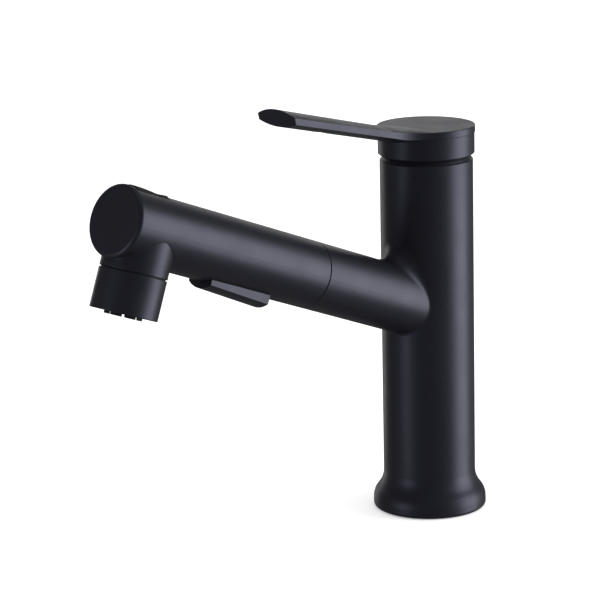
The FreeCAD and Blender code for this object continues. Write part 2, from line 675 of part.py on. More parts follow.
# ---------------------------------------------------------------- handle
def lever_line(y):
    """Height of the top edge of the lever's side faces at a distance y in front of the column's axis."""
    t = y - LEVER_BEND_Y
    soft = 0.5 * (t + math.sqrt(t * t + LEVER_BEND_SOFT ** 2))
    sink = LEVER_ROOT_SINK * max(0.0, 1 - y / LEVER_FLARE_Y)
    return CAP_TOP + math.tan(math.radians(LEVER_RISE_DEG)) * soft - sink


def lever_half_width(y):
    """Half width: straight sides, then a hollow arc that runs tangent into the disc's rim."""
    w = LEVER_HALF_W
    flare = (w * w + LEVER_FLARE_Y ** 2 - RIM_R ** 2) / (2 * (RIM_R - w))
    t = LEVER_FLARE_Y - y
    if t <= 0:
        return w
    rim_y = RIM_R * LEVER_FLARE_Y / (RIM_R + flare)
    if y > rim_y:
        return w + flare - math.sqrt(flare * flare - t * t)
    inset = LEVER_ROOT_SINK * (rim_y - y) / rim_y
    return math.sqrt(RIM_R ** 2 - y * y) - inset


def lever_section(y, crown, under):
    lean = math.radians(LEVER_RISE_DEG) if y > LEVER_FLARE_Y else 0.0
    w = lever_half_width(y)
    top = lever_line(y)
    low = top - RIM_H

    def at(x, h):
        """h is measured from the middle of the side face, square to the lever."""
        mid = (top + low) / 2
        return V(x, -y - h * math.sin(lean), mid + h * math.cos(lean))

    flat = RIM_H / 2
    a, b = at(-w, -flat), at(w, -flat)
    c, d = at(w, flat), at(-w, flat)
    edges = [
        Part.Arc(a, at(0, -flat - under), b).toShape(),
        Part.makeLine(b, c),
        Part.Arc(c, at(0, flat + crown), d).toShape(),
        Part.makeLine(d, a),
    ]
    return Part.Wire(edges)


def lever():
    span = LEVER_TIP_Y - LEVER_FLARE_Y
    stations = []
    for y in (LEVER_TIP_Y, LEVER_TIP_Y - span / 3, LEVER_TIP_Y - 2 * span / 3, LEVER_FLARE_Y + 2.0):
        share = (y - LEVER_FLARE_Y) / span
        stations.append(lever_section(y, CROWN_ROOT + share * (CROWN_TIP - CROWN_ROOT), CROWN_UNDER))
    straight = Part.makeLoft(stations, True, False)
    root = [stations[-1]]
    steps = 6
    inner_y = 6.0
    for i in range(1, steps + 1):
        y = LEVER_FLARE_Y + (inner_y - LEVER_FLARE_Y) * i / steps
        fade = math.cos(0.5 * math.pi * i / steps) ** 2
        root.append(lever_section(y, max(CROWN_ROOT * fade, 0.02), CROWN_UNDER))
    return straight.fuse(Part.makeLoft(root, True, False))


def finger_notch():
    """A shallow hollow across the lever's crowned underside."""
    lean = math.radians(LEVER_RISE_DEG)
    half = RIM_H / 2 + CROWN_UNDER
    under_z = lever_line(NOTCH_Y) - RIM_H / 2 - half * math.cos(lean)
    under_y = NOTCH_Y - half * math.sin(lean)
    drop = NOTCH_R - NOTCH_DEPTH
    return along_x(
        NOTCH_R, -RIM_R, RIM_R,
        -under_y - drop * math.sin(lean), under_z - drop * math.cos(lean),
    )


def handle():
    rim_low = CAP_TOP - RIM_H
    t = RIM_EDGE * (1 - math.sqrt(0.5))
    outside = revolve([
        (0, CAP_BOTTOM),
        (CAP_EDGE_R, CAP_BOTTOM),
        (CAP_R, CAP_BOTTOM + CAP_BEVEL_H),
        (CAP_R, rim_low - 0.3),
        (RIM_R, rim_low),
        arc((RIM_R, CAP_TOP - RIM_EDGE), (RIM_R - t, CAP_TOP - t), (RIM_R - RIM_EDGE, CAP_TOP)),
        (0, CAP_TOP),
    ])
    shape = outside.fuse(lever()).cut(finger_notch())
    ceiling = rim_low - 0.3
    shape = shape.cut(cyl(CAP_R - CAP_WALL, CAP_BOTTOM - 1, ceiling))
    boss = cyl(BOSS_R, BOSS_BOTTOM, ceiling + 0.5)
    shape = shape.fuse(boss)
    w = STEM_W / 2 + FACE_GAP
    shape = shape.cut(box(-w, w, -w, w, BOSS_BOTTOM - OVER, STEM_TOP + SHOULDER_GAP))
    screw_z = (BOSS_BOTTOM + STEM_TOP) / 2
    shape = shape.cut(Part.makeCylinder(GRUB_R, CAP_R + 2, V(0, 0, screw_z), Y_AXIS))
    keep("handle", shape.removeSplitter())
    screw = Part.makeCylinder(GRUB_R, GRUB_L, V(0, w, screw_z), Y_AXIS)
    hexagon = Part.makePolygon([
        V(
            GRUB_KEY_R * math.cos(math.pi * i / 3), w + GRUB_L,
            screw_z + GRUB_KEY_R * math.sin(math.pi * i / 3),
        )
        for i in range(7)
    ])
    key = Part.Face(hexagon).extrude(V(0, -GRUB_KEY_DEPTH, 0))
    keep("grub_screw", screw.cut(key))
    plug = Part.makeCylinder(GRUB_R, PLUG_L, V(0, CAP_R - PLUG_INSET - PLUG_L, screw_z), Y_AXIS)
    keep("grub_plug", plug)


# ---------------------------------------------------------------- wand (spout frame)
def on_collar_joint(edge):
    """Whether an edge lies on both the wand's skin and the collar's."""
    for p in edge.discretize(7):
        if abs(math.hypot(p.x, p.y) - WAND_R) > RUN or abs(math.hypot(p.x, p.z - NOZZLE_L) - NOZZLE_R) > RUN:
            return False
    return True


def wand_shell():
    back = WAND_L
    front = END_CAP_L - END_CAP_T
    outer = round_rims(cyl(WAND_R, back, front), SEAM_EDGE, V(0, 0, back))
    collar = down_y(NOZZLE_R, 0, COLLAR_DEPTH, NOZZLE_L)
    collar = round_rims(collar, SEAM_EDGE, V(0, -COLLAR_DEPTH, NOZZLE_L))
    whole = fuse([outer, collar])
    whole = whole.makeFillet(COLLAR_FILLET, edges_where(whole, on_collar_joint))
    whole = whole.cut(cyl(2 * END_CAP_R, front, END_CAP_L + OVER))
    inside = cyl(WAND_IN_R, back + WAND_BACK_T, front + OVER)
    bore = down_y(COLLAR_BORE_R, 0, COLLAR_DEPTH + OVER, NOZZLE_L)
    shell = whole.cut(inside).cut(bore)
    shell = shell.cut(cyl(WAND_TAIL_R - TAIL_NECK_IN, back - OVER, back + WAND_BACK_T + OVER))
    window = box(
        -ROCKER_HALF_W - SEAM, ROCKER_HALF_W + SEAM, 0, WAND_R + OVER,
        ROCKER_REAR_L - SEAM, ROCKER_FRONT_L + ROCKER_SWING_GAP,
    )
    shell = shell.cut(window)
    shell = shell.cut(rocker_pin_hole())
    for z in grip_screw_places():
        shell = shell.cut(down_y(GRIP_SCREW_R, WAND_R / 2, WAND_R + OVER, z))
    keep("wand_shell", shell, SPOUT)

    plug_r = WAND_IN_R - FACE_GAP
    cap = cyl(END_CAP_R, front, END_CAP_L)
    rim = edges_where(cap, lambda e: len(e.Vertexes) == 1 and abs(e.BoundBox.ZMin - END_CAP_L) < 1e-3)
    cap = cap.makeFillet(END_CAP_EDGE, rim)
    plug = ring(plug_r, plug_r - PLUG_WALL, front - PLUG_DEPTH, front)
    keep("wand_end_cap", fuse([cap, plug]), SPOUT)


def rocker_pin_hole():
    """The blind hole for the rocker's pin, closed at the wand's skin."""
    return along_x(ROCKER_HOLE_R, -ROCKER_HOLE_HALF, ROCKER_HOLE_HALF, ROCKER_PIVOT_UP, ROCKER_PIVOT_L)


def docking_tail():
    """The tube that docks in the socket; the hose's nut screws into it."""
    back = WAND_L - WAND_TAIL_L
    inner = WAND_L + WAND_BACK_T
    bore_r = WAND_TAIL_R - TAIL_WALL
    neck_r = WAND_TAIL_R - TAIL_NECK_IN - FACE_GAP
    tail = ring(WAND_TAIL_R, bore_r, back, WAND_L)
    flange = ring(WAND_IN_R - FACE_GAP, TAIL_BORE_R, inner, inner + TAIL_FLANGE)
    neck = ring(neck_r, TAIL_BORE_R, WAND_L - OVER / 2, inner + OVER / 2)
    keep("docking_tail", fuse([tail, neck, flange]), SPOUT)
    groove_z = back + O_RING_BACK
    o_ring = ring(LINER_BORE_R - O_RING_SQUEEZE, WAND_TAIL_R, groove_z, groove_z + O_RING_W)
    keep("tail_o_ring", o_ring, SPOUT)
    nut_z = back + HOSE_NUT_BACK
    keep("hose_nut", ring(bore_r - FACE_GAP, HOSE_BORE_R, nut_z, nut_z + HOSE_NUT_L), SPOUT)


def wand_inside():
    inner = WAND_L + WAND_BACK_T
    block_back = ROCKER_REAR_L - BLOCK_BACK
    tube = ring(WATER_TUBE_R, WATER_TUBE_BORE_R, WAND_L + WATER_TUBE_START, block_back)
    keep("wand_water_tube", tube, SPOUT)
    filter_z = WAND_L + FILTER_PLACE
    rim = ring(VALVE_R, POPPET_STEM_R * 2, filter_z, filter_z + FILTER_T)
    keep("inlet_filter", rim.fuse(cyl(POPPET_STEM_R * 2, filter_z, filter_z + FILTER_T / 2)), SPOUT)
    check_valve(WAND_L + VALVE_PLACE)
    diverter_block(block_back)

    spool = cyl(SPOOL_R, ROCKER_PIVOT_L - SPOOL_BACK, ROCKER_PIVOT_L + SPOOL_FRONT)
    groove_r = SPOOL_R - SPOOL_GROOVE_DEPTH
    rings = []
    for z in (ROCKER_PIVOT_L - SPOOL_RING_BACK, ROCKER_PIVOT_L + SPOOL_RING_FRONT):
        half = SPOOL_GROOVE_W / 2
        spool = spool.cut(ring(SPOOL_R + OVER, groove_r, z - half, z + half))
        rings.append(ring(SPOOL_R, groove_r, z - SPOOL_RING_W / 2, z + SPOOL_RING_W / 2))
    half = LUG_HALF_T + LUG_SLOT
    notch = box(
        -LUG_HALF_W - PART_GAP, LUG_HALF_W + PART_GAP, SPOOL_NOTCH_FLOOR, SPOOL_R + OVER,
        ROCKER_PIVOT_L - half, ROCKER_PIVOT_L + half,
    )
    keep("diverter_spool", spool.cut(notch), SPOUT)
    keep("spool_o_rings", Part.makeCompound(rings), SPOUT)


def check_valve(z):
    """Seat, poppet, guide and spring, from the seat's back face."""
    seat_top = z + VALVE_SEAT_T
    keep("check_valve_seat", ring(VALVE_R, VALVE_SEAT_BORE_R, z, seat_top), SPOUT)
    head_top = seat_top + FACE_GAP + POPPET_T
    poppet = cyl(POPPET_R, seat_top + FACE_GAP, head_top).fuse(cyl(POPPET_STEM_R, head_top, z + POPPET_END))
    keep("check_valve_poppet", poppet.removeSplitter(), SPOUT)
    guide_z = z + VALVE_GUIDE_PLACE
    guide = ring(VALVE_R, POPPET_STEM_R + SLIDE, guide_z, guide_z + VALVE_GUIDE_T)
    for i in range(3):
        hole = cyl(VALVE_HOLE_R, guide_z - OVER, guide_z + VALVE_GUIDE_T + OVER, VALVE_HOLE_CIRCLE, 0)
        hole.rotate(V(0, 0, 0), Z_AXIS, 120 * i)
        guide = guide.cut(hole)
    keep("check_valve_guide", guide, SPOUT)
    coil = spring(SPRING_R, SPRING_WIRE_R, z + SPRING_START, z + SPRING_END, SPRING_TURNS)
    keep("check_valve_spring", coil, SPOUT)


def diverter_block(block_back):
    """The moulding that takes water from the tube to the aerator or the spray nubs."""
    block_r = WAND_IN_R - BLOCK_GAP
    block = cyl(block_r, block_back, END_CAP_L - END_CAP_T - PLUG_DEPTH - PART_GAP)
    leg = down_y(NOZZLE_R - BLOCK_NOZZLE_IN, 0, COLLAR_DEPTH - BLOCK_LEG_SHORT, NOZZLE_L)
    block = block.fuse(leg).removeSplitter()
    pocket_half = ROCKER_HALF_W + POCKET_ROOM
    pocket = box(
        -pocket_half, pocket_half, POCKET_FLOOR, block_r + OVER, ROCKER_REAR_L - OVER, END_CAP_L,
    )
    block = block.cut(pocket).cut(rocker_pin_hole())
    inlet_end = block_back + BLOCK_INLET_L
    block = block.cut(cyl(WATER_TUBE_BORE_R, block_back - OVER, inlet_end))
    block = block.cut(cyl(SPOOL_R + RUN, inlet_end - OVER, ROCKER_FRONT_L - SPOOL_BORE_SHORT))
    block = block.cut(down_y(STREAM_R, 0, COLLAR_DEPTH, NOZZLE_L))
    for side in (-SPRAY_X, SPRAY_X):
        block = block.cut(down_y(SPRAY_R, 0, COLLAR_DEPTH, NOZZLE_L, side))
        block = block.cut(along_x(SPRAY_R, min(0, side), max(0, side), 0, NOZZLE_L))
    swing = LUG_HALF_T + LUG_ROOM
    lug_room = box(
        -LUG_HALF_W - LUG_SIDE, LUG_HALF_W + LUG_SIDE, -OVER, POCKET_FLOOR + OVER,
        ROCKER_PIVOT_L - swing, ROCKER_PIVOT_L + swing,
    )
    keep("diverter_block", block.cut(lug_room), SPOUT)


def spring(r, wire_r, z0, z1, turns):
    """A short coil as stacked square-wire rings joined by a thin rib, closed and simple."""
    pitch = (z1 - z0) / turns
    coils = []
    for i in range(turns):
        z = z0 + pitch * (i + 0.5)
        coils.append(ring(r + wire_r, r - wire_r, z - wire_r, z + wire_r))
    rib = box(r - wire_r, r + wire_r / 2, -wire_r, wire_r, z0 + pitch / 2, z1 - pitch / 2)
    return fuse(coils + [rib])


def spray_rocker():
    """The button on top of the wand: a dished cap that rocks about a pin across the wand."""
    wide = 2 * WAND_R
    dish = [(0.0, 0.38), (0.17, 0.23), (0.32, 0.03), (0.46, 0.23), (0.62, 0.68), (0.80, 0.98), (1.0, 1.08)]
    crest = [V(-wide, WAND_R + proud, ROCKER_REAR_L + share * ROCKER_LEN) for share, proud in dish]
    curve = Part.BSplineCurve()
    curve.interpolate(crest)
    low = WAND_R - ROCKER_SKIRT
    front = V(-wide, low, ROCKER_FRONT_L)
    rear = V(-wide, low, ROCKER_REAR_L)
    wire = Part.Wire([
        curve.toShape(),
        Part.makeLine(crest[-1], front),
        Part.makeLine(front, rear),
        Part.makeLine(rear, crest[0]),
    ])
    slab = Part.Face(wire).extrude(V(2 * wide, 0, 0))
    side = box(-ROCKER_HALF_W, ROCKER_HALF_W, 0, wide, ROCKER_REAR_L, ROCKER_FRONT_L)
    crown_y = WAND_R + ROCKER_PROUD - ROCKER_CROWN_R
    crown = cyl(ROCKER_CROWN_R, ROCKER_REAR_L - OVER, ROCKER_FRONT_L + OVER, 0, crown_y)
    cap = slab.common(side).common(crown)
    half_x = ROCKER_HUB_HALF
    hub = along_x(ROCKER_HUB_R, -half_x, half_x, ROCKER_PIVOT_UP, ROCKER_PIVOT_L)
    web = box(
        -half_x, half_x, ROCKER_PIVOT_UP, low + OVER / 2,
        ROCKER_PIVOT_L - ROCKER_WEB_HALF, ROCKER_PIVOT_L + ROCKER_WEB_HALF,
    )
    lug = box(
        -LUG_HALF_W, LUG_HALF_W, LUG_END, ROCKER_PIVOT_UP,
        ROCKER_PIVOT_L - LUG_HALF_T, ROCKER_PIVOT_L + LUG_HALF_T,
    )
    rocker = fuse([cap, web, hub, lug])
    rocker = rocker.cut(along_x(ROCKER_PIN_R + RUN, -wide, wide, ROCKER_PIVOT_UP, ROCKER_PIVOT_L))
    keep("spray_rocker", rocker, SPOUT)
    pin_half = ROCKER_HOLE_HALF - ROCKER_PIN_PLAY
    keep("rocker_pin", along_x(ROCKER_PIN_R, -pin_half, pin_half, ROCKER_PIVOT_UP, ROCKER_PIVOT_L), SPOUT)


def grip_screw_places():
    quarter = (GRIP_FRONT_L - GRIP_REAR_L) / 4
    return (GRIP_REAR_L + quarter, GRIP_FRONT_L - quarter)


def finger_grip():
    """A hooked ledge under the wand: flat sides, a crowned underside that deepens to the rear."""
    w = GRIP_HALF_W
    root = WAND_R / 2

    def section(z, depth):
        return Part.Wire([
            Part.makeLine(V(-w, -root, z), V(w, -root, z)),
            Part.makeLine(V(w, -root, z), V(w, -depth, z)),
            Part.Arc(V(w, -depth, z), V(0, -depth - GRIP_CROWN, z), V(-w, -depth, z)).toShape(),
            Part.makeLine(V(-w, -depth, z), V(-w, -root, z)),
        ])

    body = Part.makeLoft([section(GRIP_REAR_L, GRIP_DEPTH_REAR), section(GRIP_FRONT_L, GRIP_DEPTH_FRONT)], True, True)
    mid = (GRIP_FRONT_L + GRIP_REAR_L) / 2
    body = body.common(down_y(GRIP_LEN * GRIP_PLAN, 0, 2 * GRIP_DEPTH_REAR, mid))
    body = body.cut(cyl(WAND_R + FACE_GAP, GRIP_REAR_L - OVER, GRIP_FRONT_L + OVER))
    for z in grip_screw_places():
        body = body.cut(down_y(GRIP_SCREW_R, root, GRIP_DEPTH_FRONT - SHOULDER_GAP, z))
    keep("finger_grip", body, SPOUT)
    screws = []
    for z in grip_screw_places():
        head_top = WAND_IN_R - GRIP_HEAD_H
        shank = down_y(GRIP_SCREW_R, head_top, GRIP_DEPTH_FRONT - PART_GAP, z)
        head = down_y(GRIP_HEAD_R, head_top, WAND_R, z)
        head = head.common(cyl(WAND_IN_R - FACE_GAP, z - 2 * GRIP_HEAD_R, z + 2 * GRIP_HEAD_R))
        screws.append(fuse([shank, head]))
    keep("grip_screws", Part.makeCompound(screws), SPOUT)


def nozzle():
    top = COLLAR_DEPTH + GROOVE
    bore_r = NOZZLE_R - RING_WALL
    web_low = top + RING_WEB
    shell = down_y(NOZZLE_R, top, RING_BOTTOM, NOZZLE_L)
    shell = round_rims(shell, SEAM_EDGE, V(0, -top, NOZZLE_L), V(0, -RING_BOTTOM, NOZZLE_L))
    shell = shell.cut(down_y(bore_r, top - OVER, RING_BOTTOM + OVER, NOZZLE_L))
    spigot = down_y(SPIGOT_R, COLLAR_DEPTH - SPIGOT_L, web_low, NOZZLE_L)
    web = down_y(bore_r + OVER / 2, top, web_low, NOZZLE_L)
    throat = down_y(SPIGOT_BORE_R, 0, web_low + OVER, NOZZLE_L)
    keep("nozzle_ring", fuse([shell, spigot.cut(throat), web.cut(throat)]), SPOUT)
    seal = down_y(NOZZLE_R - SEAL_SHOW, COLLAR_DEPTH, top, NOZZLE_L)
    keep("nozzle_seal", seal.cut(down_y(SPIGOT_R, 0, top + OVER, NOZZLE_L)), SPOUT)

    face_out = RING_BOTTOM - FACE_RECESS
    face_in = face_out - FACE_T
    spray_face(face_in, face_out, bore_r - FACE_GAP)
    aerator(face_in, face_out)
    divider = down_y(BARREL_R + RING_WEB, web_low, face_in, NOZZLE_L)
    keep("chamber_divider", divider.cut(down_y(BARREL_R, 0, RING_BOTTOM, NOZZLE_L)), SPOUT)


def spray_face(face_in, face_out, plate_r):
    """The plate round the aerator and its silicone nubs."""
    plate = down_y(plate_r, face_in, face_out, NOZZLE_L)
    plate = plate.cut(down_y(BARREL_R, face_in - OVER, face_out + OVER, NOZZLE_L))
    nubs = []
    for i in range(NUBS):
        a = 2 * math.pi * i / NUBS
        x = NUB_CIRCLE_R * math.cos(a)
        z = NOZZLE_L + NUB_CIRCLE_R * math.sin(a)
        plate = plate.cut(down_y(NUB_R, face_in - OVER, face_out + OVER, z, x))
        nub = Part.makeCone(NUB_R, NUB_TIP_R, FACE_T + NUB_H, V(x, -face_in, z), V(0, -1, 0))
        nub = nub.fuse(down_y(NUB_R, face_in, face_out, z, x))
        jet = down_y(NUB_JET_R, face_in - OVER, face_out + NUB_H + OVER, z, x)
        nubs.append(nub.cut(jet).removeSplitter())
    keep("spray_plate", plate, SPOUT)
    keep("spray_nubs", Part.makeCompound(nubs), SPOUT)


def aerator(face_in, face_out):
    """The slotted insert in the middle of the spray face, with its screen."""
    tip = RING_BOTTOM + AERATOR_STAND
    bore_r = AERATOR_R - AERATOR_WALL
    tooth_root = RING_BOTTOM - TOOTH_ROOT
    crown = down_y(AERATOR_R, face_out, tip, NOZZLE_L)
    crown = crown.cut(down_y(bore_r, face_out - OVER, tip + OVER, NOZZLE_L))
    crown = crown.cut(down_y(AERATOR_R - TOOTH_WALL, tooth_root, tip + OVER, NOZZLE_L))
    half = AERATOR_R * math.radians(TOOTH_GAP_DEG) / 2
    for i in range(AERATOR_TEETH):
        slot = box(0, AERATOR_R + OVER, -tip - OVER, -tooth_root, NOZZLE_L - half, NOZZLE_L + half)
        slot.rotate(V(0, 0, NOZZLE_L), Y_AXIS, 360 / AERATOR_TEETH * i)
        crown = crown.cut(slot)
    barrel_end = face_in - AERATOR_BARREL
    barrel = down_y(BARREL_R - FACE_GAP, barrel_end, face_out, NOZZLE_L)
    barrel = barrel.cut(down_y(bore_r, barrel_end - OVER, face_out + OVER, NOZZLE_L))
    web = down_y(bore_r + SHOULDER_GAP, barrel_end, barrel_end + AERATOR_WEB, NOZZLE_L)
    for i in range(AERATOR_HOLES):
        hole = down_y(
            AERATOR_HOLE_R, barrel_end - OVER, barrel_end + AERATOR_WEB + OVER, NOZZLE_L, AERATOR_HOLE_CIRCLE,
        )
        hole.rotate(V(0, 0, NOZZLE_L), Y_AXIS, 360 / AERATOR_HOLES * i)
        web = web.cut(hole)
    keep("aerator", fuse([crown, barrel, web]), SPOUT)

    low = face_out - SCREEN_INSET
    screen = down_y(bore_r - FACE_GAP, low - SCREEN_T, low, NOZZLE_L)
    half = SCREEN_HOLE_HALF
    for i in range(-2, 3):
        for j in range(-2, 3):
            if i * i + j * j < 6:
                x = i * SCREEN_PITCH
                z = NOZZLE_L + j * SCREEN_PITCH
                screen = screen.cut(box(x - half, x + half, -RING_BOTTOM, 0, z - half, z + half))
    keep("aerator_screen", screen, SPOUT)


def main():
    os.makedirs(OUT, exist_ok=True)
    body_casting()
    waterways()
    socket_liner()
    hose()
    cartridge()
    trim_dome()
    handle()
    wand_shell()
    docking_tail()
    wand_inside()
    spray_rocker()
    finger_grip()
    nozzle()
    for name, shape in sorted(made.items()):
        solids = shape.Solids
        if not shape.isValid() or not solids:
            print("CHECK", name, "valid", shape.isValid(), "solids", len(solids))
        shape.exportStep(os.path.join(OUT, name + ".step"))
        print(name, len(solids), round(sum(s.Volume for s in solids), 1))


main()
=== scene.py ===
"""Basin mixer with a pull-out spray wand: finishes, fine pieces and studio, built round the CAD frame."""
import json
import math

import bmesh
import bpy
from bpy.props import FloatProperty, FloatVectorProperty, IntProperty, PointerProperty
from mathutils import Matrix, Vector


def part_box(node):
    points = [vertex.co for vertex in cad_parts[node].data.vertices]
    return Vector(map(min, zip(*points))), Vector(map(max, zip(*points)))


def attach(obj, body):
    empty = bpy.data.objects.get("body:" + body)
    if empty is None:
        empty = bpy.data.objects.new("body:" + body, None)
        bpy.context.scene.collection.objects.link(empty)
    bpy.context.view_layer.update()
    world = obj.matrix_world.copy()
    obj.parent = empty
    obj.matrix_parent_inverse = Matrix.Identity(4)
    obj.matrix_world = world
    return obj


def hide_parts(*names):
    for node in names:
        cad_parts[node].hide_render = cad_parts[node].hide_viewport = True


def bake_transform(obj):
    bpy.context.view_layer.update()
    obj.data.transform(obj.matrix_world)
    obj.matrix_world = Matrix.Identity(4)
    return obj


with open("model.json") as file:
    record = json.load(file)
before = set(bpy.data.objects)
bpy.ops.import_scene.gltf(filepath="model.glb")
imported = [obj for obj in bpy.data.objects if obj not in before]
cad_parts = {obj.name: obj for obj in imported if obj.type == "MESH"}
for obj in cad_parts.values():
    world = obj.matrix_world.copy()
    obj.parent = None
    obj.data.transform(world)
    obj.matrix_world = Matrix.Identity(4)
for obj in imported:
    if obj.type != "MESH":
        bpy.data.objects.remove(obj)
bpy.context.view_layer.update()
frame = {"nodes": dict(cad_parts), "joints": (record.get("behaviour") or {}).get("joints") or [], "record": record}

bl_info = {
    "name": "Basin Mixer Looks",
    "version": (1, 0, 0),
    "blender": (4, 5, 0),
    "location": "View3D > Sidebar > Mixer",
    "description": "Finishes, fine pieces and studio for a single-lever mixer with a pull-out spray wand",
    "category": "Object",
}

MM = 0.001
JOINTS = {joint["name"]: joint for joint in frame["joints"]}
MOUNTS = {mount["name"]: mount for mount in frame["record"]["mounts"]}
X_AXIS = Vector((1, 0, 0))
Z_AXIS = Vector((0, 0, 1))

# the spout's own frame: z out along the spout, y up across it, from a point on its axis above the base
SPOUT_AXIS = Vector(JOINTS["wand_pull"]["axis"]).normalized()
SPOUT_UP = X_AXIS.cross(SPOUT_AXIS) * -1
SWIVEL_POINT = Vector(JOINTS["wand_swivel"]["pos_m"])
SPOUT_ROOT = SWIVEL_POINT - SPOUT_AXIS * (SWIVEL_POINT.y / SPOUT_AXIS.y)
SPOUT_RISE = math.asin(SPOUT_AXIS.z)
NOZZLE_AXIS = Vector(MOUNTS["water_jet"]["axis"]).normalized()
SPOUT_TURN = Matrix((X_AXIS, SPOUT_UP, SPOUT_AXIS)).transposed().to_4x4()


def spout_point(x, y, z):
    """A point given in the spout's own frame, in the row's frame."""
    return SPOUT_ROOT + X_AXIS * x + SPOUT_UP * y + SPOUT_AXIS * z


def spout_reach(node):
    """Nearest and farthest place of a round node along the spout, from the corners of its box."""
    low, high = (Vector(corner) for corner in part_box(node))
    size = high - low
    span = (size.z - size.x * math.cos(SPOUT_RISE)) / math.sin(SPOUT_RISE)
    centre = ((low + high) / 2 - SPOUT_ROOT).dot(SPOUT_AXIS)
    return centre - span / 2, centre + span / 2


def linear(code):
    """An sRGB hex colour as linear red, green and blue."""
    parts = [int(code[i:i + 2], 16) / 255 for i in (1, 3, 5)]
    return tuple(p / 12.92 if p <= 0.04045 else ((p + 0.055) / 1.055) ** 2.4 for p in parts)


def colour(name, text, code):
    return FloatVectorProperty(
        name=name, description=text, subtype="COLOR", size=3, min=0, max=1, default=linear(code),
    )


def length(name, text, mm):
    return FloatProperty(name=name, description=text, unit="LENGTH", default=mm * MM, min=0, precision=5)


def power(name, text, watts):
    return FloatProperty(name=name, description=text, unit="POWER", default=watts)


def share(name, text, value):
    return FloatProperty(name=name, description=text, subtype="FACTOR", default=value, min=0)


def count(name, text, value, least):
    return IntProperty(name=name, description=text, subtype="UNSIGNED", default=value, min=least)


# ---------------------------------------------------------------- what a user may change
class MixerColours(bpy.types.PropertyGroup):
    coat: colour("Powder coat", "Matte black epoxy powder coat of the metal shells", "#0d0d12")
    coat_speckle: colour("Coat speckle", "Lighter grains in the powder coat", "#141419")
    coat_gloss: colour("Coat gloss", "Tint of the coat's gloss", "#cfd3f4")
    abs: colour("Black ABS", "Moulded plastic of the rocker, aerator and spray face", "#121214")
    brass: colour("Brass", "Turned brass", "#d9b26a")
    copper: colour("Copper", "Drawn copper tube", "#d08a66")
    white_acetal: colour("White acetal", "Moulded cartridge body", "#e6e5df")
    grey_acetal: colour("Grey acetal", "Moulded tail, liner and waterways", "#8e9196")
    alumina: colour("Alumina", "Lapped ceramic discs", "#efeae2")
    epdm: colour("EPDM rubber", "Seals and O-rings", "#16161a")
    silicone: colour("Silicone", "Soft spray nubs", "#4a4b52")
    braid: colour("Hose braid", "Nylon yarn of the hose's braid", "#3a3b42")
    braid_gap_rubber_and_shade: colour("Braid gap", "Rubber that shows between the yarns", "#0c0c0e")
    # the rubber between the yarns, painted darker than the rubber itself as shade in the gaps
    steel: colour("Stainless steel", "Pins, screws, filter and spring", "#c9c9c9")
    floor: colour("Floor", "Plain pale studio floor", "#f4f4f4")


class MixerSizes(bpy.types.PropertyGroup):
    hose_r: length("Hose radius", "Radius over the braid", 5.75)
    hose_bend_r: length("Hose bend", "Radius of the hose's bend inside the column", 28.0)
    braid_yarns: count("Yarns", "Yarns each way round the hose's braid", 12, 4)
    braid_lay: length("Braid lay", "Length of one turn of a yarn", 26.0)
    nubs: count("Nubs", "Spray nubs in their ring round the aerator", 18, 3)
    nub_r: length("Nub radius", "Radius of a spray nub where it leaves the plate", 0.85)
    nub_h: length("Nub height", "How far a spray nub stands off the plate", 1.0)
    nub_hole_r: length("Nub hole", "Radius of a nub's jet", 0.35)
    cell_pitch: length("Honeycomb pitch", "Distance between the flow straightener's cells", 1.15)
    cell_wall: length("Honeycomb wall", "Thickness of the flow straightener's walls", 0.2)
    cell_depth: length("Honeycomb depth", "Depth of the flow straightener", 1.6)
    thread_pitch: length("Thread pitch", "Pitch of the shank's thread", 1.5)
    port_pitch: length("Port pitch", "Pitch of the supply ports' threads", 1.0)


class MixerStudio(bpy.types.PropertyGroup):
    key: power("Key light", "Power of the tall soft box at the right", 24)
    fill: power("Fill light", "Power of the weak soft box at the left", 2.6)
    rim: power("Rim light", "Power of the narrow soft box behind, at the left", 1.0)
    back: power("Back light", "Power of the wide soft box behind", 2.6)
    top: power("Top light", "Power of the soft box overhead", 3.5)
    room: share("Room", "Strength of the light from all round", 0.9)
    room_gloss: share("Room's gloss", "The same, as reflections see it", 0.17)
    floor_half: FloatProperty(name="Floor", description="Half the floor's width", unit="LENGTH", default=6.0)
    floor_glow: share("Floor glow", "Light from under the paper", 0.3)
    lens: FloatProperty(name="Lens", description="Focal length of the camera", unit="CAMERA", default=169.76)


# ---------------------------------------------------------------- materials
def add(tree, kind, inputs=(), **settings):
    """Add a node with its settings; an input given a socket is linked to it."""
    node = tree.nodes.new("ShaderNode" + kind)
    for name, value in settings.items():
        setattr(node, name, value)
    for name, value in dict(inputs).items():
        if isinstance(value, bpy.types.NodeSocket):
            tree.links.new(value, node.inputs[name])
        else:
            node.inputs[name].default_value = value
    return node


def start_material(name, **constants):
    """A material with its shader, whose even values are set on the shader's own sockets."""
    material = bpy.data.materials.new(name)
    material.use_nodes = True
    shader = material.node_tree.nodes["Principled BSDF"]
    for key, value in constants.items():
        shader.inputs[key.replace("_", " ")].default_value = value
    return material, material.node_tree, shader


def rgba(tone):
    return (*tone, 1.0)


def per_mm(size_mm):
    """A pattern's scale for marks about size_mm across."""
    return 1 / (size_mm * MM)


def connect(tree, shader, links):
    """Link outputs to the shader's sockets of these names."""
    for socket, output in links.items():
        tree.links.new(output, shader.inputs[socket])


# most of a noise's values lie in this band, so mapping from it uses the whole of the target range
BAND = {"From Min": 0.3, "From Max": 0.7}
# a colour mix node's two colours and its result have no names of their own
FIRST, SECOND, MIXED = 6, 7, 2

COAT_GRAIN_MM = 0.45
COAT_GRAIN_HIGH_MM = 0.006
COAT_DRIFT_MM = 14.0
COAT_ROUGHNESS = (0.40, 0.46)
COAT_DRIFT_ROUGHNESS = 0.02


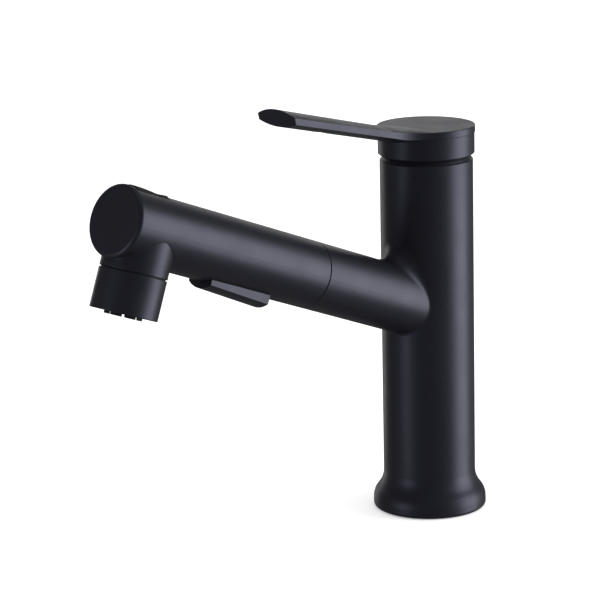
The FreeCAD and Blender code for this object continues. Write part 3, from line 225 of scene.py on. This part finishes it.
def powder_coat(c):
    """Matte black epoxy powder coat, sprayed and baked: an even satin sheen broken by very fine grain.

    The real grain is about 0.1 mm; it is drawn at 0.45 mm so that it shows as a slight softness of the gloss.
    """
    material, tree, shader = start_material(
        "black_epoxy_powder_coat", IOR=1.5, Specular_IOR_Level=0.32, Specular_Tint=rgba(c.coat_gloss),
    )
    where = add(tree, "TexCoord").outputs["Object"]
    fine = add(tree, "TexNoise", {
        "Vector": where, "Scale": per_mm(COAT_GRAIN_MM), "Detail": 3.0,
    }).outputs["Fac"]
    drift = add(tree, "TexNoise", {
        "Vector": where, "Scale": per_mm(COAT_DRIFT_MM), "Detail": 1.0,
    }).outputs["Fac"]
    speckle = add(tree, "MapRange", {"Value": fine, **BAND}).outputs["Result"]
    tones = {"Factor": speckle, FIRST: rgba(c.coat), SECOND: rgba(c.coat_speckle)}
    dull, duller = COAT_ROUGHNESS
    fine_rough = add(tree, "MapRange", {"Value": fine, **BAND, "To Min": dull, "To Max": duller})
    drift_rough = add(tree, "MapRange", {
        "Value": drift, **BAND, "To Min": -COAT_DRIFT_ROUGHNESS, "To Max": COAT_DRIFT_ROUGHNESS,
    })
    rough = {0: fine_rough.outputs["Result"], 1: drift_rough.outputs["Result"]}
    connect(tree, shader, {
        "Base Color": add(tree, "Mix", tones, data_type="RGBA").outputs[MIXED],
        "Roughness": add(tree, "Math", rough, operation="ADD").outputs[0],
        "Normal": add(tree, "Bump", {"Height": fine, "Distance": COAT_GRAIN_HIGH_MM * MM}).outputs["Normal"],
    })
    return material


MOULD_FLOW_MM = 9.0
MOULD_FLOW_SHADE = 0.86
MOULD_ROUGHNESS_RANGE = 0.05


def moulded(name, tone, rough, spark_mm, relief_mm, **constants):
    """A moulded plastic or rubber whose tool was spark-eroded: a fine even matte with slight flow shades."""
    material, tree, shader = start_material(name, **constants)
    where = add(tree, "TexCoord").outputs["Object"]
    fine = add(tree, "TexNoise", {"Vector": where, "Scale": per_mm(spark_mm), "Detail": 3.0}).outputs["Fac"]
    flow = add(tree, "TexNoise", {
        "Vector": where, "Scale": per_mm(MOULD_FLOW_MM), "Detail": 1.0,
    }).outputs["Fac"]
    shade = add(tree, "MapRange", {"Value": flow, **BAND}).outputs["Result"]
    darker = tuple(MOULD_FLOW_SHADE * part for part in tone)
    tones = {"Factor": shade, FIRST: rgba(darker), SECOND: rgba(tone)}
    dull, duller = rough - MOULD_ROUGHNESS_RANGE, rough + MOULD_ROUGHNESS_RANGE
    connect(tree, shader, {
        "Base Color": add(tree, "Mix", tones, data_type="RGBA").outputs[MIXED],
        "Roughness": add(
            tree, "MapRange", {"Value": fine, **BAND, "To Min": dull, "To Max": duller},
        ).outputs["Result"],
        "Normal": add(tree, "Bump", {"Height": fine, "Distance": relief_mm * MM}).outputs["Normal"],
    })
    return material


METAL_STAIN_MM = 4.0
METAL_STAIN_SHADE = 0.8
METAL_ROUGHNESS_RANGE = 0.06
TOOL_MARK_HIGH_MM = 0.01
# a wave texture of scale 1 has bands this far apart, in metres, so this over the spacing is its scale
WAVE_SPACING = 0.314


def turned_metal(name, tone, rough, mark_mm, axis="Z"):
    """A turned or drawn metal: tool marks a fraction of a millimetre apart, which streak its reflection."""
    material, tree, shader = start_material(name, Metallic=1.0)
    where = add(tree, "TexCoord").outputs["Object"]
    marks = add(tree, "TexWave", {
        "Vector": where, "Scale": WAVE_SPACING * per_mm(mark_mm), "Distortion": 0.6, "Detail": 1.0,
    }, bands_direction=axis).outputs["Fac"]
    stain = add(tree, "TexNoise", {
        "Vector": where, "Scale": per_mm(METAL_STAIN_MM), "Detail": 2.0,
    }).outputs["Fac"]
    shade = add(tree, "MapRange", {"Value": stain, **BAND}).outputs["Result"]
    darker = tuple(METAL_STAIN_SHADE * part for part in tone)
    tones = {"Factor": shade, FIRST: rgba(darker), SECOND: rgba(tone)}
    bright, dull = rough - METAL_ROUGHNESS_RANGE, rough + METAL_ROUGHNESS_RANGE
    connect(tree, shader, {
        "Base Color": add(tree, "Mix", tones, data_type="RGBA").outputs[MIXED],
        "Roughness": add(
            tree, "MapRange", {"Value": stain, **BAND, "To Min": bright, "To Max": dull},
        ).outputs["Result"],
        "Normal": add(tree, "Bump", {"Height": marks, "Distance": TOOL_MARK_HIGH_MM * MM}).outputs["Normal"],
    })
    return material


YARN_HIGH_MM = 0.35
# heights, as shares of a ridge, over which the braid's tone ramps from the gaps' painted shade to the yarn's own
# colour
YARN_EDGE = (0.15, 0.5)
YARN_FIBRE_MM = 0.3
YARN_ROUGHNESS = (0.5, 0.65)


def nylon_braid(c, sizes):
    """Plain-braided nylon yarn over a rubber tube: two sets of helical yarns that pass over and under.

    Each yarn is a soft ridge. Where the sets cross, the upper hides the lower, and the gaps show the rubber. The
    gaps are painted darker than the rubber, and each yarn darkens towards its flanks: painted shade.
    """
    material, tree, shader = start_material("nylon_hose_braid", IOR=1.53, Specular_IOR_Level=0.4)
    where = add(tree, "TexCoord").outputs["Object"]
    # turned so that z runs along the spout from its root
    turn = SPOUT_RISE - math.pi / 2
    root = Matrix.Rotation(turn, 3, "X") @ SPOUT_ROOT
    along = add(tree, "Mapping", {"Vector": where, "Rotation": (turn, 0, 0), "Location": -root})
    split = add(tree, "SeparateXYZ", {"Vector": along.outputs["Vector"]})
    angle = add(tree, "Math", {0: split.outputs["Y"], 1: split.outputs["X"]}, operation="ARCTAN2").outputs[0]
    turns = add(tree, "Math", {0: angle, 1: sizes.braid_yarns / 2}, operation="MULTIPLY").outputs[0]
    rate = math.pi * sizes.braid_yarns / sizes.braid_lay
    run = add(tree, "Math", {0: split.outputs["Z"], 1: rate}, operation="MULTIPLY").outputs[0]
    waves = []
    for lean in ("ADD", "SUBTRACT"):
        phase = add(tree, "Math", {0: turns, 1: run}, operation=lean).outputs[0]
        waves.append(add(tree, "Math", {0: phase}, operation="SINE").outputs[0])
    crossing = add(tree, "Math", {0: waves[0], 1: waves[1]}, operation="MULTIPLY").outputs[0]
    over = add(tree, "Math", {0: crossing, 1: 0.0}, operation="GREATER_THAN").outputs[0]
    ridges = [add(tree, "Math", {0: wave}, operation="ABSOLUTE").outputs[0] for wave in waves]
    upper = {"Factor": over, "A": ridges[1], "B": ridges[0]}
    height = add(tree, "Mix", upper, data_type="FLOAT").outputs["Result"]
    # the tone ramps from the gap colour at low height to the yarn colour at the crown: the rubber, plus painted
    # shade in the gaps and on the yarns' flanks
    gap, crown = YARN_EDGE
    yarn = add(tree, "MapRange", {"Value": height, "From Min": gap, "From Max": crown}).outputs["Result"]
    tones = {"Factor": yarn, FIRST: rgba(c.braid_gap_rubber_and_shade), SECOND: rgba(c.braid)}
    fibre = add(tree, "TexNoise", {
        "Vector": where, "Scale": per_mm(YARN_FIBRE_MM), "Detail": 2.0,
    }).outputs["Fac"]
    dull, duller = YARN_ROUGHNESS
    connect(tree, shader, {
        "Base Color": add(tree, "Mix", tones, data_type="RGBA").outputs[MIXED],
        "Roughness": add(
            tree, "MapRange", {"Value": fibre, **BAND, "To Min": dull, "To Max": duller},
        ).outputs["Result"],
        "Normal": add(tree, "Bump", {"Height": height, "Distance": YARN_HIGH_MM * MM}).outputs["Normal"],
    })
    return material


def make_finishes(c, sizes):
    """One material for each of the record's slots."""
    acetal = {"spark_mm": 0.5, "relief_mm": 0.006, "IOR": 1.48}
    return {
        "black_coat": powder_coat(c),
        # injection-moulded ABS with a spark-eroded skin: darker and flatter than the coat beside it
        "black_abs": moulded(
            "black_abs", c.abs, rough=0.6, spark_mm=0.4, relief_mm=0.008, IOR=1.54, Specular_IOR_Level=0.12,
        ),
        # free-machining brass, turned: warm, streaked round the tool's path
        "brass": turned_metal("turned_brass", c.brass, rough=0.28, mark_mm=0.35),
        # drawn copper tube: lengthwise die lines and slight tarnish
        "copper": turned_metal("drawn_copper", c.copper, rough=0.3, mark_mm=0.6, axis="X"),
        # unfilled acetal, moulded: a waxy off-white
        "white_acetal": moulded("white_acetal", c.white_acetal, rough=0.42, **acetal),
        # pigmented acetal, moulded: a waxy mid grey
        "grey_acetal": moulded("grey_acetal", c.grey_acetal, rough=0.4, **acetal),
        # sintered and lapped alumina: ivory, very flat, with a soft gloss
        "alumina": moulded("lapped_alumina", c.alumina, rough=0.2, spark_mm=0.6, relief_mm=0.002, IOR=1.77),
        # compression-moulded rubber: dull, dusty black
        "epdm": moulded(
            "black_epdm", c.epdm, rough=0.72, spark_mm=0.3, relief_mm=0.01, IOR=1.5, Specular_IOR_Level=0.3,
        ),
        # soft silicone: satin, a little dusty
        "silicone": moulded("grey_silicone", c.silicone, rough=0.5, spark_mm=0.35, relief_mm=0.006, IOR=1.41),
        # nylon yarn over rubber: a fine diamond pattern, with painted shade in the gaps and on the yarns' flanks
        "hose_braid": nylon_braid(c, sizes),
        # ground stainless steel: neutral grey with fine grinding marks
        "stainless": turned_metal("ground_stainless_steel", c.steel, rough=0.3, mark_mm=0.2),
    }


FINISHES = {}


def finish(slot):
    if not FINISHES:
        scene = bpy.context.scene
        FINISHES.update(make_finishes(scene.mixer_colours, scene.mixer_sizes))
    return FINISHES[slot]


# ---------------------------------------------------------------- building pieces
THREAD_SIDES = 40
# a thread's ridge as shares of its pitch: its height, and half its width at the foot and at the crest
RIDGE_HEIGHT = 0.54
RIDGE_FOOT = 0.42
RIDGE_CREST = 0.07
RIDGE_SINK_MM = 0.02


def finish_piece(name, mesh, body, slot, replaced=(), smooth_deg=35.0):
    """Turn a bmesh into a piece that rides on a body, with the slot's finish."""
    bmesh.ops.remove_doubles(mesh, verts=mesh.verts, dist=1e-7)
    bmesh.ops.recalc_face_normals(mesh, faces=mesh.faces)
    data = bpy.data.meshes.new(name)
    mesh.to_mesh(data)
    mesh.free()
    data.shade_smooth()
    data.set_sharp_from_angle(angle=math.radians(smooth_deg))
    data.materials.append(finish(slot))
    piece = bpy.data.objects.new(name, data)
    bpy.context.scene.collection.objects.link(piece)
    if body:
        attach(piece, body)
    if replaced:
        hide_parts(*replaced)
    return piece


def outline(mesh, points):
    """A closed loop of edges through the points."""
    corners = [mesh.verts.new(p) for p in points]
    edges = [mesh.edges.new((a, b)) for a, b in zip(corners, corners[1:] + corners[:1])]
    return corners + edges


def turn_outline(mesh, points, centre, axis, steps):
    """Turn a closed outline a full turn about an axis."""
    bmesh.ops.spin(
        mesh, geom=outline(mesh, points), cent=centre, axis=axis, dvec=(0, 0, 0),
        angle=math.tau, steps=steps, use_merge=True,
    )


def helix(mesh, points, centre, axis, pitch, turns):
    """Run a closed outline along a helix, with its ends closed: one thread's ridge."""
    start = outline(mesh, points)
    mesh.faces.new([v for v in start if isinstance(v, bmesh.types.BMVert)])
    made = bmesh.ops.spin(
        mesh, geom=start, cent=centre, axis=axis, dvec=Vector(axis) * (pitch / THREAD_SIDES),
        angle=math.tau * turns, steps=round(turns * THREAD_SIDES),
    )
    end = [v for v in made["geom_last"] if isinstance(v, bmesh.types.BMVert)]
    bmesh.ops.contextual_create(mesh, geom=end)


def internal_thread(mount_name, pitch, name, body, slot):
    """The ridges of a threaded hole, inside the bore that the mount states."""
    mount = MOUNTS[mount_name]
    mouth = Vector(mount["pos_m"])
    inward = -Vector(mount["axis"])
    bore_r = mount["dims"]["r_mm"] * MM
    depth = mount["dims"]["length_mm"] * MM
    foot_r = bore_r + RIDGE_SINK_MM * MM
    crest_r = bore_r - RIDGE_HEIGHT * pitch
    lead = mouth + inward * pitch
    corners = ((foot_r, -RIDGE_FOOT), (crest_r, -RIDGE_CREST), (crest_r, RIDGE_CREST), (foot_r, RIDGE_FOOT))
    points = [lead + X_AXIS * across + inward * pitch * along for across, along in corners]
    mesh = bmesh.new()
    helix(mesh, points, mouth, inward, pitch, (depth - 2 * pitch) / pitch)
    return finish_piece(name, mesh, body, slot, smooth_deg=25.0)


# ---------------------------------------------------------------- operators
def shade_nodes(slots):
    """Give the CAD nodes of these slots their finish."""
    found = False
    for part in frame["record"]["subparts"]:
        node = frame["nodes"].get(part["node"])
        if part["material_slot"] in slots and node is not None:
            for holder in node.material_slots:
                holder.material = finish(part["material_slot"])
            found = True
    if not found:
        raise RuntimeError(f"no node has a slot of {slots}")


class MIXER_OT_coated_shells(bpy.types.Operator):
    """Powder-coat the body, handle, dome, wand, end cap, nozzle ring and finger grip"""
    bl_idname = "mixer.coated_shells"
    bl_label = "Coated shells"
    bl_options = {"REGISTER", "UNDO"}

    def execute(self, context):
        shade_nodes({"black_coat"})
        return {"FINISHED"}


class MIXER_OT_moulded_parts(bpy.types.Operator):
    """Finish the moulded rocker, aerator, spray face, tail, liner, cartridge and soft seals"""
    bl_idname = "mixer.moulded_parts"
    bl_label = "Moulded parts"
    bl_options = {"REGISTER", "UNDO"}

    def execute(self, context):
        shade_nodes({"black_abs", "white_acetal", "grey_acetal", "alumina", "epdm", "silicone"})
        return {"FINISHED"}


class MIXER_OT_metal_parts(bpy.types.Operator):
    """Finish the brass, copper and stainless steel parts"""
    bl_idname = "mixer.metal_parts"
    bl_label = "Metal parts"
    bl_options = {"REGISTER", "UNDO"}

    def execute(self, context):
        shade_nodes({"brass", "copper", "stainless"})
        return {"FINISHED"}


class MIXER_OT_spray_hose(bpy.types.Operator):
    """Braided hose from the base up the column and into the wand's tail"""
    bl_idname = "mixer.spray_hose"
    bl_label = "Spray hose"
    bl_options = {"REGISTER", "UNDO"}
    sides = 40
    upright_steps = 12
    bend_steps = 16
    slanted_steps = 48

    def execute(self, context):
        sizes = context.scene.mixer_sizes
        low, high = (Vector(corner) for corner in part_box("spray_hose"))
        hose_y = high.y - sizes.hose_r
        tail_end = (low.y + sizes.hose_r * SPOUT_UP.y) / SPOUT_AXIS.y
        turn = math.pi / 2 - SPOUT_RISE
        tangent = sizes.hose_bend_r * math.tan(turn / 2)
        corner = spout_point(0, 0, hose_y / SPOUT_AXIS.y)
        bend_centre = Vector((0, hose_y - sizes.hose_bend_r, corner.z - tangent))
        bend_end = hose_y / SPOUT_AXIS.y + tangent
        mesh = bmesh.new()
        bmesh.ops.create_circle(
            mesh, cap_ends=False, segments=self.sides, radius=sizes.hose_r,
            matrix=Matrix.Translation((0, hose_y, low.z)),
        )
        ring = self.run(mesh, list(mesh.edges), Z_AXIS * (bend_centre.z - low.z), self.upright_steps)
        bent = bmesh.ops.spin(
            mesh, geom=ring, cent=bend_centre, axis=X_AXIS, dvec=(0, 0, 0), angle=turn, steps=self.bend_steps,
        )
        ring = [e for e in bent["geom_last"] if isinstance(e, bmesh.types.BMEdge)]
        self.run(mesh, ring, SPOUT_AXIS * (tail_end - bend_end), self.slanted_steps)
        piece = finish_piece("braided_hose", mesh, None, "hose_braid", ["spray_hose"], 60.0)
        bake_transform(piece)
        return {"FINISHED"}

    def run(self, mesh, ring, reach, steps):
        """Extrude a ring of edges along a straight reach in even steps."""
        for _ in range(steps):
            made = bmesh.ops.extrude_edge_only(mesh, edges=ring)["geom"]
            bmesh.ops.translate(
                mesh, vec=reach / steps, verts=[v for v in made if isinstance(v, bmesh.types.BMVert)],
            )
            ring = [e for e in made if isinstance(e, bmesh.types.BMEdge)]
        return ring


class MIXER_OT_spray_nubs(bpy.types.Operator):
    """Rounded silicone nubs on the spray face, each with its jet"""
    bl_idname = "mixer.spray_nubs"
    bl_label = "Spray nubs"
    bl_options = {"REGISTER", "UNDO"}
    sides = 16

    def execute(self, context):
        sizes = context.scene.mixer_sizes
        low, high = (Vector(corner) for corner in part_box("spray_nubs"))
        circle_r = (high.x - low.x) / 2 - sizes.nub_r
        face = self.face_middle()
        mesh = bmesh.new()
        for i in range(sizes.nubs):
            turn = Matrix.Rotation(math.tau * i / sizes.nubs, 3, NOZZLE_AXIS)
            self.nub(mesh, face + turn @ (X_AXIS * circle_r), sizes)
        finish_piece("spray_nub_ring", mesh, "spray_wand", "silicone", ["spray_nubs"], 40.0)
        return {"FINISHED"}

    def face_middle(self):
        """Middle of the spray plate's outer face."""
        low, high = (Vector(corner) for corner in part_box("spray_plate"))
        size = high - low
        depth = (size.z - size.x * math.sin(SPOUT_RISE)) / math.cos(SPOUT_RISE)
        return (low + high) / 2 + NOZZLE_AXIS * (depth / 2)

    def nub(self, mesh, foot, sizes):
        """One nub, turned about its own axis: a foot in the plate, tapering to a rounded rim at the jet."""
        r, h, jet = sizes.nub_r, sizes.nub_h, sizes.nub_hole_r
        rim = 0.3 * (r - jet)
        root_h, shoulder_h, lip_h = 0.1 * h, 0.75 * h, 0.8 * h
        profile = [
            (jet, -h), (r, -h), (r, root_h), (r - rim, shoulder_h),
            (r - 2 * rim, h), (jet + rim, h), (jet, lip_h),
        ]
        points = [foot + X_AXIS * across + NOZZLE_AXIS * out for across, out in profile]
        turn_outline(mesh, points, foot, NOZZLE_AXIS, self.sides)


class MIXER_OT_flow_insert(bpy.types.Operator):
    """Honeycomb flow straightener inside the aerator"""
    bl_idname = "mixer.flow_insert"
    bl_label = "Flow insert"
    bl_options = {"REGISTER", "UNDO"}
    rim_sides = 48

    def execute(self, context):
        sizes = context.scene.mixer_sizes
        low, high = (Vector(corner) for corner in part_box("aerator_screen"))
        middle = (low + high) / 2
        half = (high.x - low.x) / 2
        pitch = sizes.cell_pitch
        row = pitch * math.sqrt(3) / 2
        reach = math.ceil(half / row)
        place_it = Matrix.Translation(middle) @ SPOUT_TURN @ Matrix.Rotation(math.radians(-90), 4, "X")
        mesh = bmesh.new()
        for j in range(-reach, reach + 1):
            for i in range(-reach, reach + 1):
                spot = Vector(((i + 0.5 * (j % 2)) * pitch, j * row, 0))
                if spot.length < half - 0.5 * pitch:
                    self.cell(mesh, spot, sizes)
        self.rim(mesh, half, sizes)
        bmesh.ops.transform(mesh, matrix=place_it, verts=mesh.verts)
        finish_piece("flow_straightener", mesh, "spray_wand", "grey_acetal", ["aerator_screen"], 30.0)
        return {"FINISHED"}

    def cell(self, mesh, spot, sizes):
        """A six-sided tube standing on its end."""
        made = bmesh.ops.create_circle(
            mesh, cap_ends=False, segments=6, radius=sizes.cell_pitch / math.sqrt(3),
            matrix=Matrix.Translation(spot) @ Matrix.Rotation(math.radians(30), 4, "Z"),
        )
        self.wall(mesh, made["verts"], sizes.cell_wall, sizes.cell_depth)

    def rim(self, mesh, half, sizes):
        """The upright tube round the cells."""
        made = bmesh.ops.create_circle(mesh, cap_ends=False, segments=self.rim_sides, radius=half)
        self.wall(mesh, made["verts"], 2 * sizes.cell_wall, sizes.cell_depth)

    def wall(self, mesh, ring, thickness, depth):
        """Turn a ring of vertices into an upright tube wall of a thickness, centred on its height."""
        edges = {edge for vert in ring for edge in vert.link_edges}
        bmesh.ops.translate(mesh, verts=ring, vec=(0, 0, -depth / 2))
        made = bmesh.ops.extrude_edge_only(mesh, edges=list(edges))["geom"]
        top = [v for v in made if isinstance(v, bmesh.types.BMVert)]
        bmesh.ops.translate(mesh, verts=top, vec=(0, 0, depth))
        faces = [f for f in made if isinstance(f, bmesh.types.BMFace)]
        bmesh.ops.recalc_face_normals(mesh, faces=faces)
        bmesh.ops.solidify(mesh, geom=faces, thickness=thickness)


class MIXER_OT_tail_ring(bpy.types.Operator):
    """Round-section O-ring on the docking tail, squeezed against the socket's liner"""
    bl_idname = "mixer.tail_ring"
    bl_label = "Tail O-ring"
    bl_options = {"REGISTER", "UNDO"}
    section_sides = 20
    ring_sides = 64

    def execute(self, context):
        start, end = spout_reach("tail_o_ring")
        low, high = (Vector(corner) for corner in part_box("tail_o_ring"))
        section = (end - start) / 2
        outer = (high.x - low.x) / 2
        centre = spout_point(0, 0, (start + end) / 2)
        beside = Matrix.Translation(centre + X_AXIS * (outer - section))
        mesh = bmesh.new()
        bmesh.ops.create_circle(
            mesh, cap_ends=False, segments=self.section_sides, radius=section,
            matrix=beside @ SPOUT_TURN @ Matrix.Rotation(math.radians(90), 4, "X"),
        )
        bmesh.ops.spin(
            mesh, geom=list(mesh.verts) + list(mesh.edges), cent=centre, axis=SPOUT_AXIS, dvec=(0, 0, 0),
            angle=math.tau, steps=self.ring_sides, use_merge=True,
        )
        finish_piece("tail_seal", mesh, "spray_wand", "epdm", ["tail_o_ring"], 60.0)
        return {"FINISHED"}


class MIXER_OT_threads(bpy.types.Operator):
    """Thread ridges in the shank's mouth, the supply ports and the hose's coupling"""
    bl_idname = "mixer.threads"
    bl_label = "Threads"
    bl_options = {"REGISTER", "UNDO"}

    def execute(self, context):
        sizes = context.scene.mixer_sizes
        internal_thread("shank_thread", sizes.thread_pitch, "shank_thread_ridge", "mixer_body", "brass")
        for name in ("hot_inlet", "cold_inlet", "mixed_outlet", "hose_thread"):
            internal_thread(name, sizes.port_pitch, name + "_ridge", "mixer_body", "brass")
        return {"FINISHED"}


# the camera's place and angles, and its turn round the mixer, which the soft boxes' turns count from
CAMERA_PLACE = (0.92927, -1.00624, 0.43583)
CAMERA_ANGLES_DEG = (76.480, 1.190, 45.095)
CAMERA_TURN_DEG = -44.6
CAMERA_SENSOR_MM = 36.0
CAMERA_REACH_M = 50.0
LIT_POINT = Vector((0, -0.06, 0.1))
# each soft box: name, turn from the camera and rise over the horizon in degrees, distance and size in metres
SOFT_BOXES = (
    ("key", 88, 2, 1.2, (0.8, 1.2)),
    ("fill", -58, -6, 1.0, (0.3, 0.5)),
    ("rim", -150, -4, 1.2, (0.22, 0.7)),
    ("back", 180, 13, 1.6, (1.6, 0.36)),
    ("top", 0, 88, 1.6, (1.2, 1.2)),
)
# the floor lies just under the base, so that the two faces don't flicker into each other
FLOOR_DROP_MM = 0.2
PAPER_FIBRE_MM = 30.0
PAPER_PALER = 1.02


class MIXER_OT_studio(bpy.types.Operator):
    """Pale floor, even room light, soft boxes at the right, left, behind and overhead, and the camera"""
    bl_idname = "mixer.studio"
    bl_label = "Studio"
    bl_options = {"REGISTER", "UNDO"}

    def execute(self, context):
        scene = context.scene
        studio = scene.mixer_studio
        self.floor(scene, studio, scene.mixer_colours.floor)
        self.room(scene, studio)
        for name, turn_deg, rise_deg, distance, size in SOFT_BOXES:
            self.soft_box(scene, name, turn_deg, rise_deg, distance, size, getattr(studio, name))
        self.camera(scene, studio.lens)
        scene.view_settings.view_transform = "Standard"
        return {"FINISHED"}

    def floor(self, scene, studio, tone):
        mesh = bmesh.new()
        bmesh.ops.create_grid(mesh, x_segments=2, y_segments=2, size=studio.floor_half)
        bmesh.ops.translate(mesh, verts=mesh.verts, vec=(0, 0, -FLOOR_DROP_MM * MM))
        data = bpy.data.meshes.new("floor")
        mesh.to_mesh(data)
        mesh.free()
        # matt paper sweep: no gloss, a trace of fibre in its tone
        material, tree, shader = start_material(
            "matt_paper", Roughness=0.95, Specular_IOR_Level=0.1,
            Emission_Color=rgba(tone), Emission_Strength=studio.floor_glow,
        )
        where = add(tree, "TexCoord").outputs["Object"]
        fibre = add(tree, "TexNoise", {"Vector": where, "Scale": per_mm(PAPER_FIBRE_MM), "Detail": 2.0})
        paler = tuple(min(1.0, PAPER_PALER * part) for part in tone)
        tones = {"Factor": fibre.outputs["Fac"], FIRST: rgba(tone), SECOND: rgba(paler)}
        connect(tree, shader, {"Base Color": add(tree, "Mix", tones, data_type="RGBA").outputs[MIXED]})
        data.materials.append(material)
        floor = bpy.data.objects.new("floor", data)
        floor.visible_glossy = False
        floor.visible_shadow = False
        scene.collection.objects.link(floor)

    def room(self, scene, studio):
        """Even light from all round, dimmer in reflections, as in a room whose lamps are all soft boxes."""
        world = bpy.data.worlds.new("studio_room")
        world.use_nodes = True
        tree = world.node_tree
        shade = tree.nodes["Background"]
        rays = add(tree, "LightPath").outputs["Is Glossy Ray"]
        level = add(tree, "MapRange", {"Value": rays, "To Min": studio.room, "To Max": studio.room_gloss})
        connect(tree, shade, {"Strength": level.outputs["Result"]})
        shade.inputs["Color"].default_value = (1, 1, 1, 1)
        scene.world = world

    def soft_box(self, scene, name, turn_deg, rise_deg, distance, size, watts):
        """A rectangular light that faces the mixer from a turn round it and a rise over the horizon."""
        turn, rise = math.radians(CAMERA_TURN_DEG + turn_deg), math.radians(rise_deg)
        away = Vector((math.cos(turn) * math.cos(rise), math.sin(turn) * math.cos(rise), math.sin(rise)))
        light = bpy.data.lights.new(name + "_light", "AREA")
        light.shape = "RECTANGLE"
        light.size, light.size_y = size
        light.energy = watts
        holder = bpy.data.objects.new(name + "_light", light)
        holder.location = LIT_POINT + away * distance
        holder.rotation_euler = (-away).to_track_quat("-Z", "Y").to_euler()
        scene.collection.objects.link(holder)

    def camera(self, scene, lens):
        data = bpy.data.cameras.new("camera")
        data.lens = lens
        data.sensor_width = CAMERA_SENSOR_MM
        data.clip_end = CAMERA_REACH_M
        camera = bpy.data.objects.new("camera", data)
        camera.location = CAMERA_PLACE
        camera.rotation_euler = [math.radians(angle) for angle in CAMERA_ANGLES_DEG]
        scene.collection.objects.link(camera)
        scene.camera = camera


STEPS = (
    MIXER_OT_coated_shells, MIXER_OT_moulded_parts, MIXER_OT_metal_parts, MIXER_OT_spray_hose,
    MIXER_OT_spray_nubs, MIXER_OT_flow_insert, MIXER_OT_tail_ring, MIXER_OT_threads, MIXER_OT_studio,
)


class MIXER_PT_panel(bpy.types.Panel):
    """Lists the steps and what may be changed"""
    bl_idname = "MIXER_PT_panel"
    bl_label = "Basin mixer"
    bl_space_type = "VIEW_3D"
    bl_region_type = "UI"
    bl_category = "Mixer"

    def draw(self, context):
        for step in STEPS:
            self.layout.operator(step.bl_idname)
        for group in GROUPS:
            holder = getattr(context.scene, group)
            for name in holder.bl_rna.properties.keys():
                if name not in {"rna_type", "name"}:
                    self.layout.prop(holder, name)


GROUPS = {"mixer_colours": MixerColours, "mixer_sizes": MixerSizes, "mixer_studio": MixerStudio}


def register():
    for cls in (*GROUPS.values(), *STEPS, MIXER_PT_panel):
        bpy.utils.register_class(cls)
    for name, cls in GROUPS.items():
        setattr(bpy.types.Scene, name, PointerProperty(type=cls))


def unregister():
    for name in GROUPS:
        delattr(bpy.types.Scene, name)
    for cls in reversed((*GROUPS.values(), *STEPS, MIXER_PT_panel)):
        bpy.utils.unregister_class(cls)


def main():
    register()
    for step in STEPS:
        group, name = step.bl_idname.split(".")
        getattr(getattr(bpy.ops, group), name)()


if __name__ == "__main__":
    main()
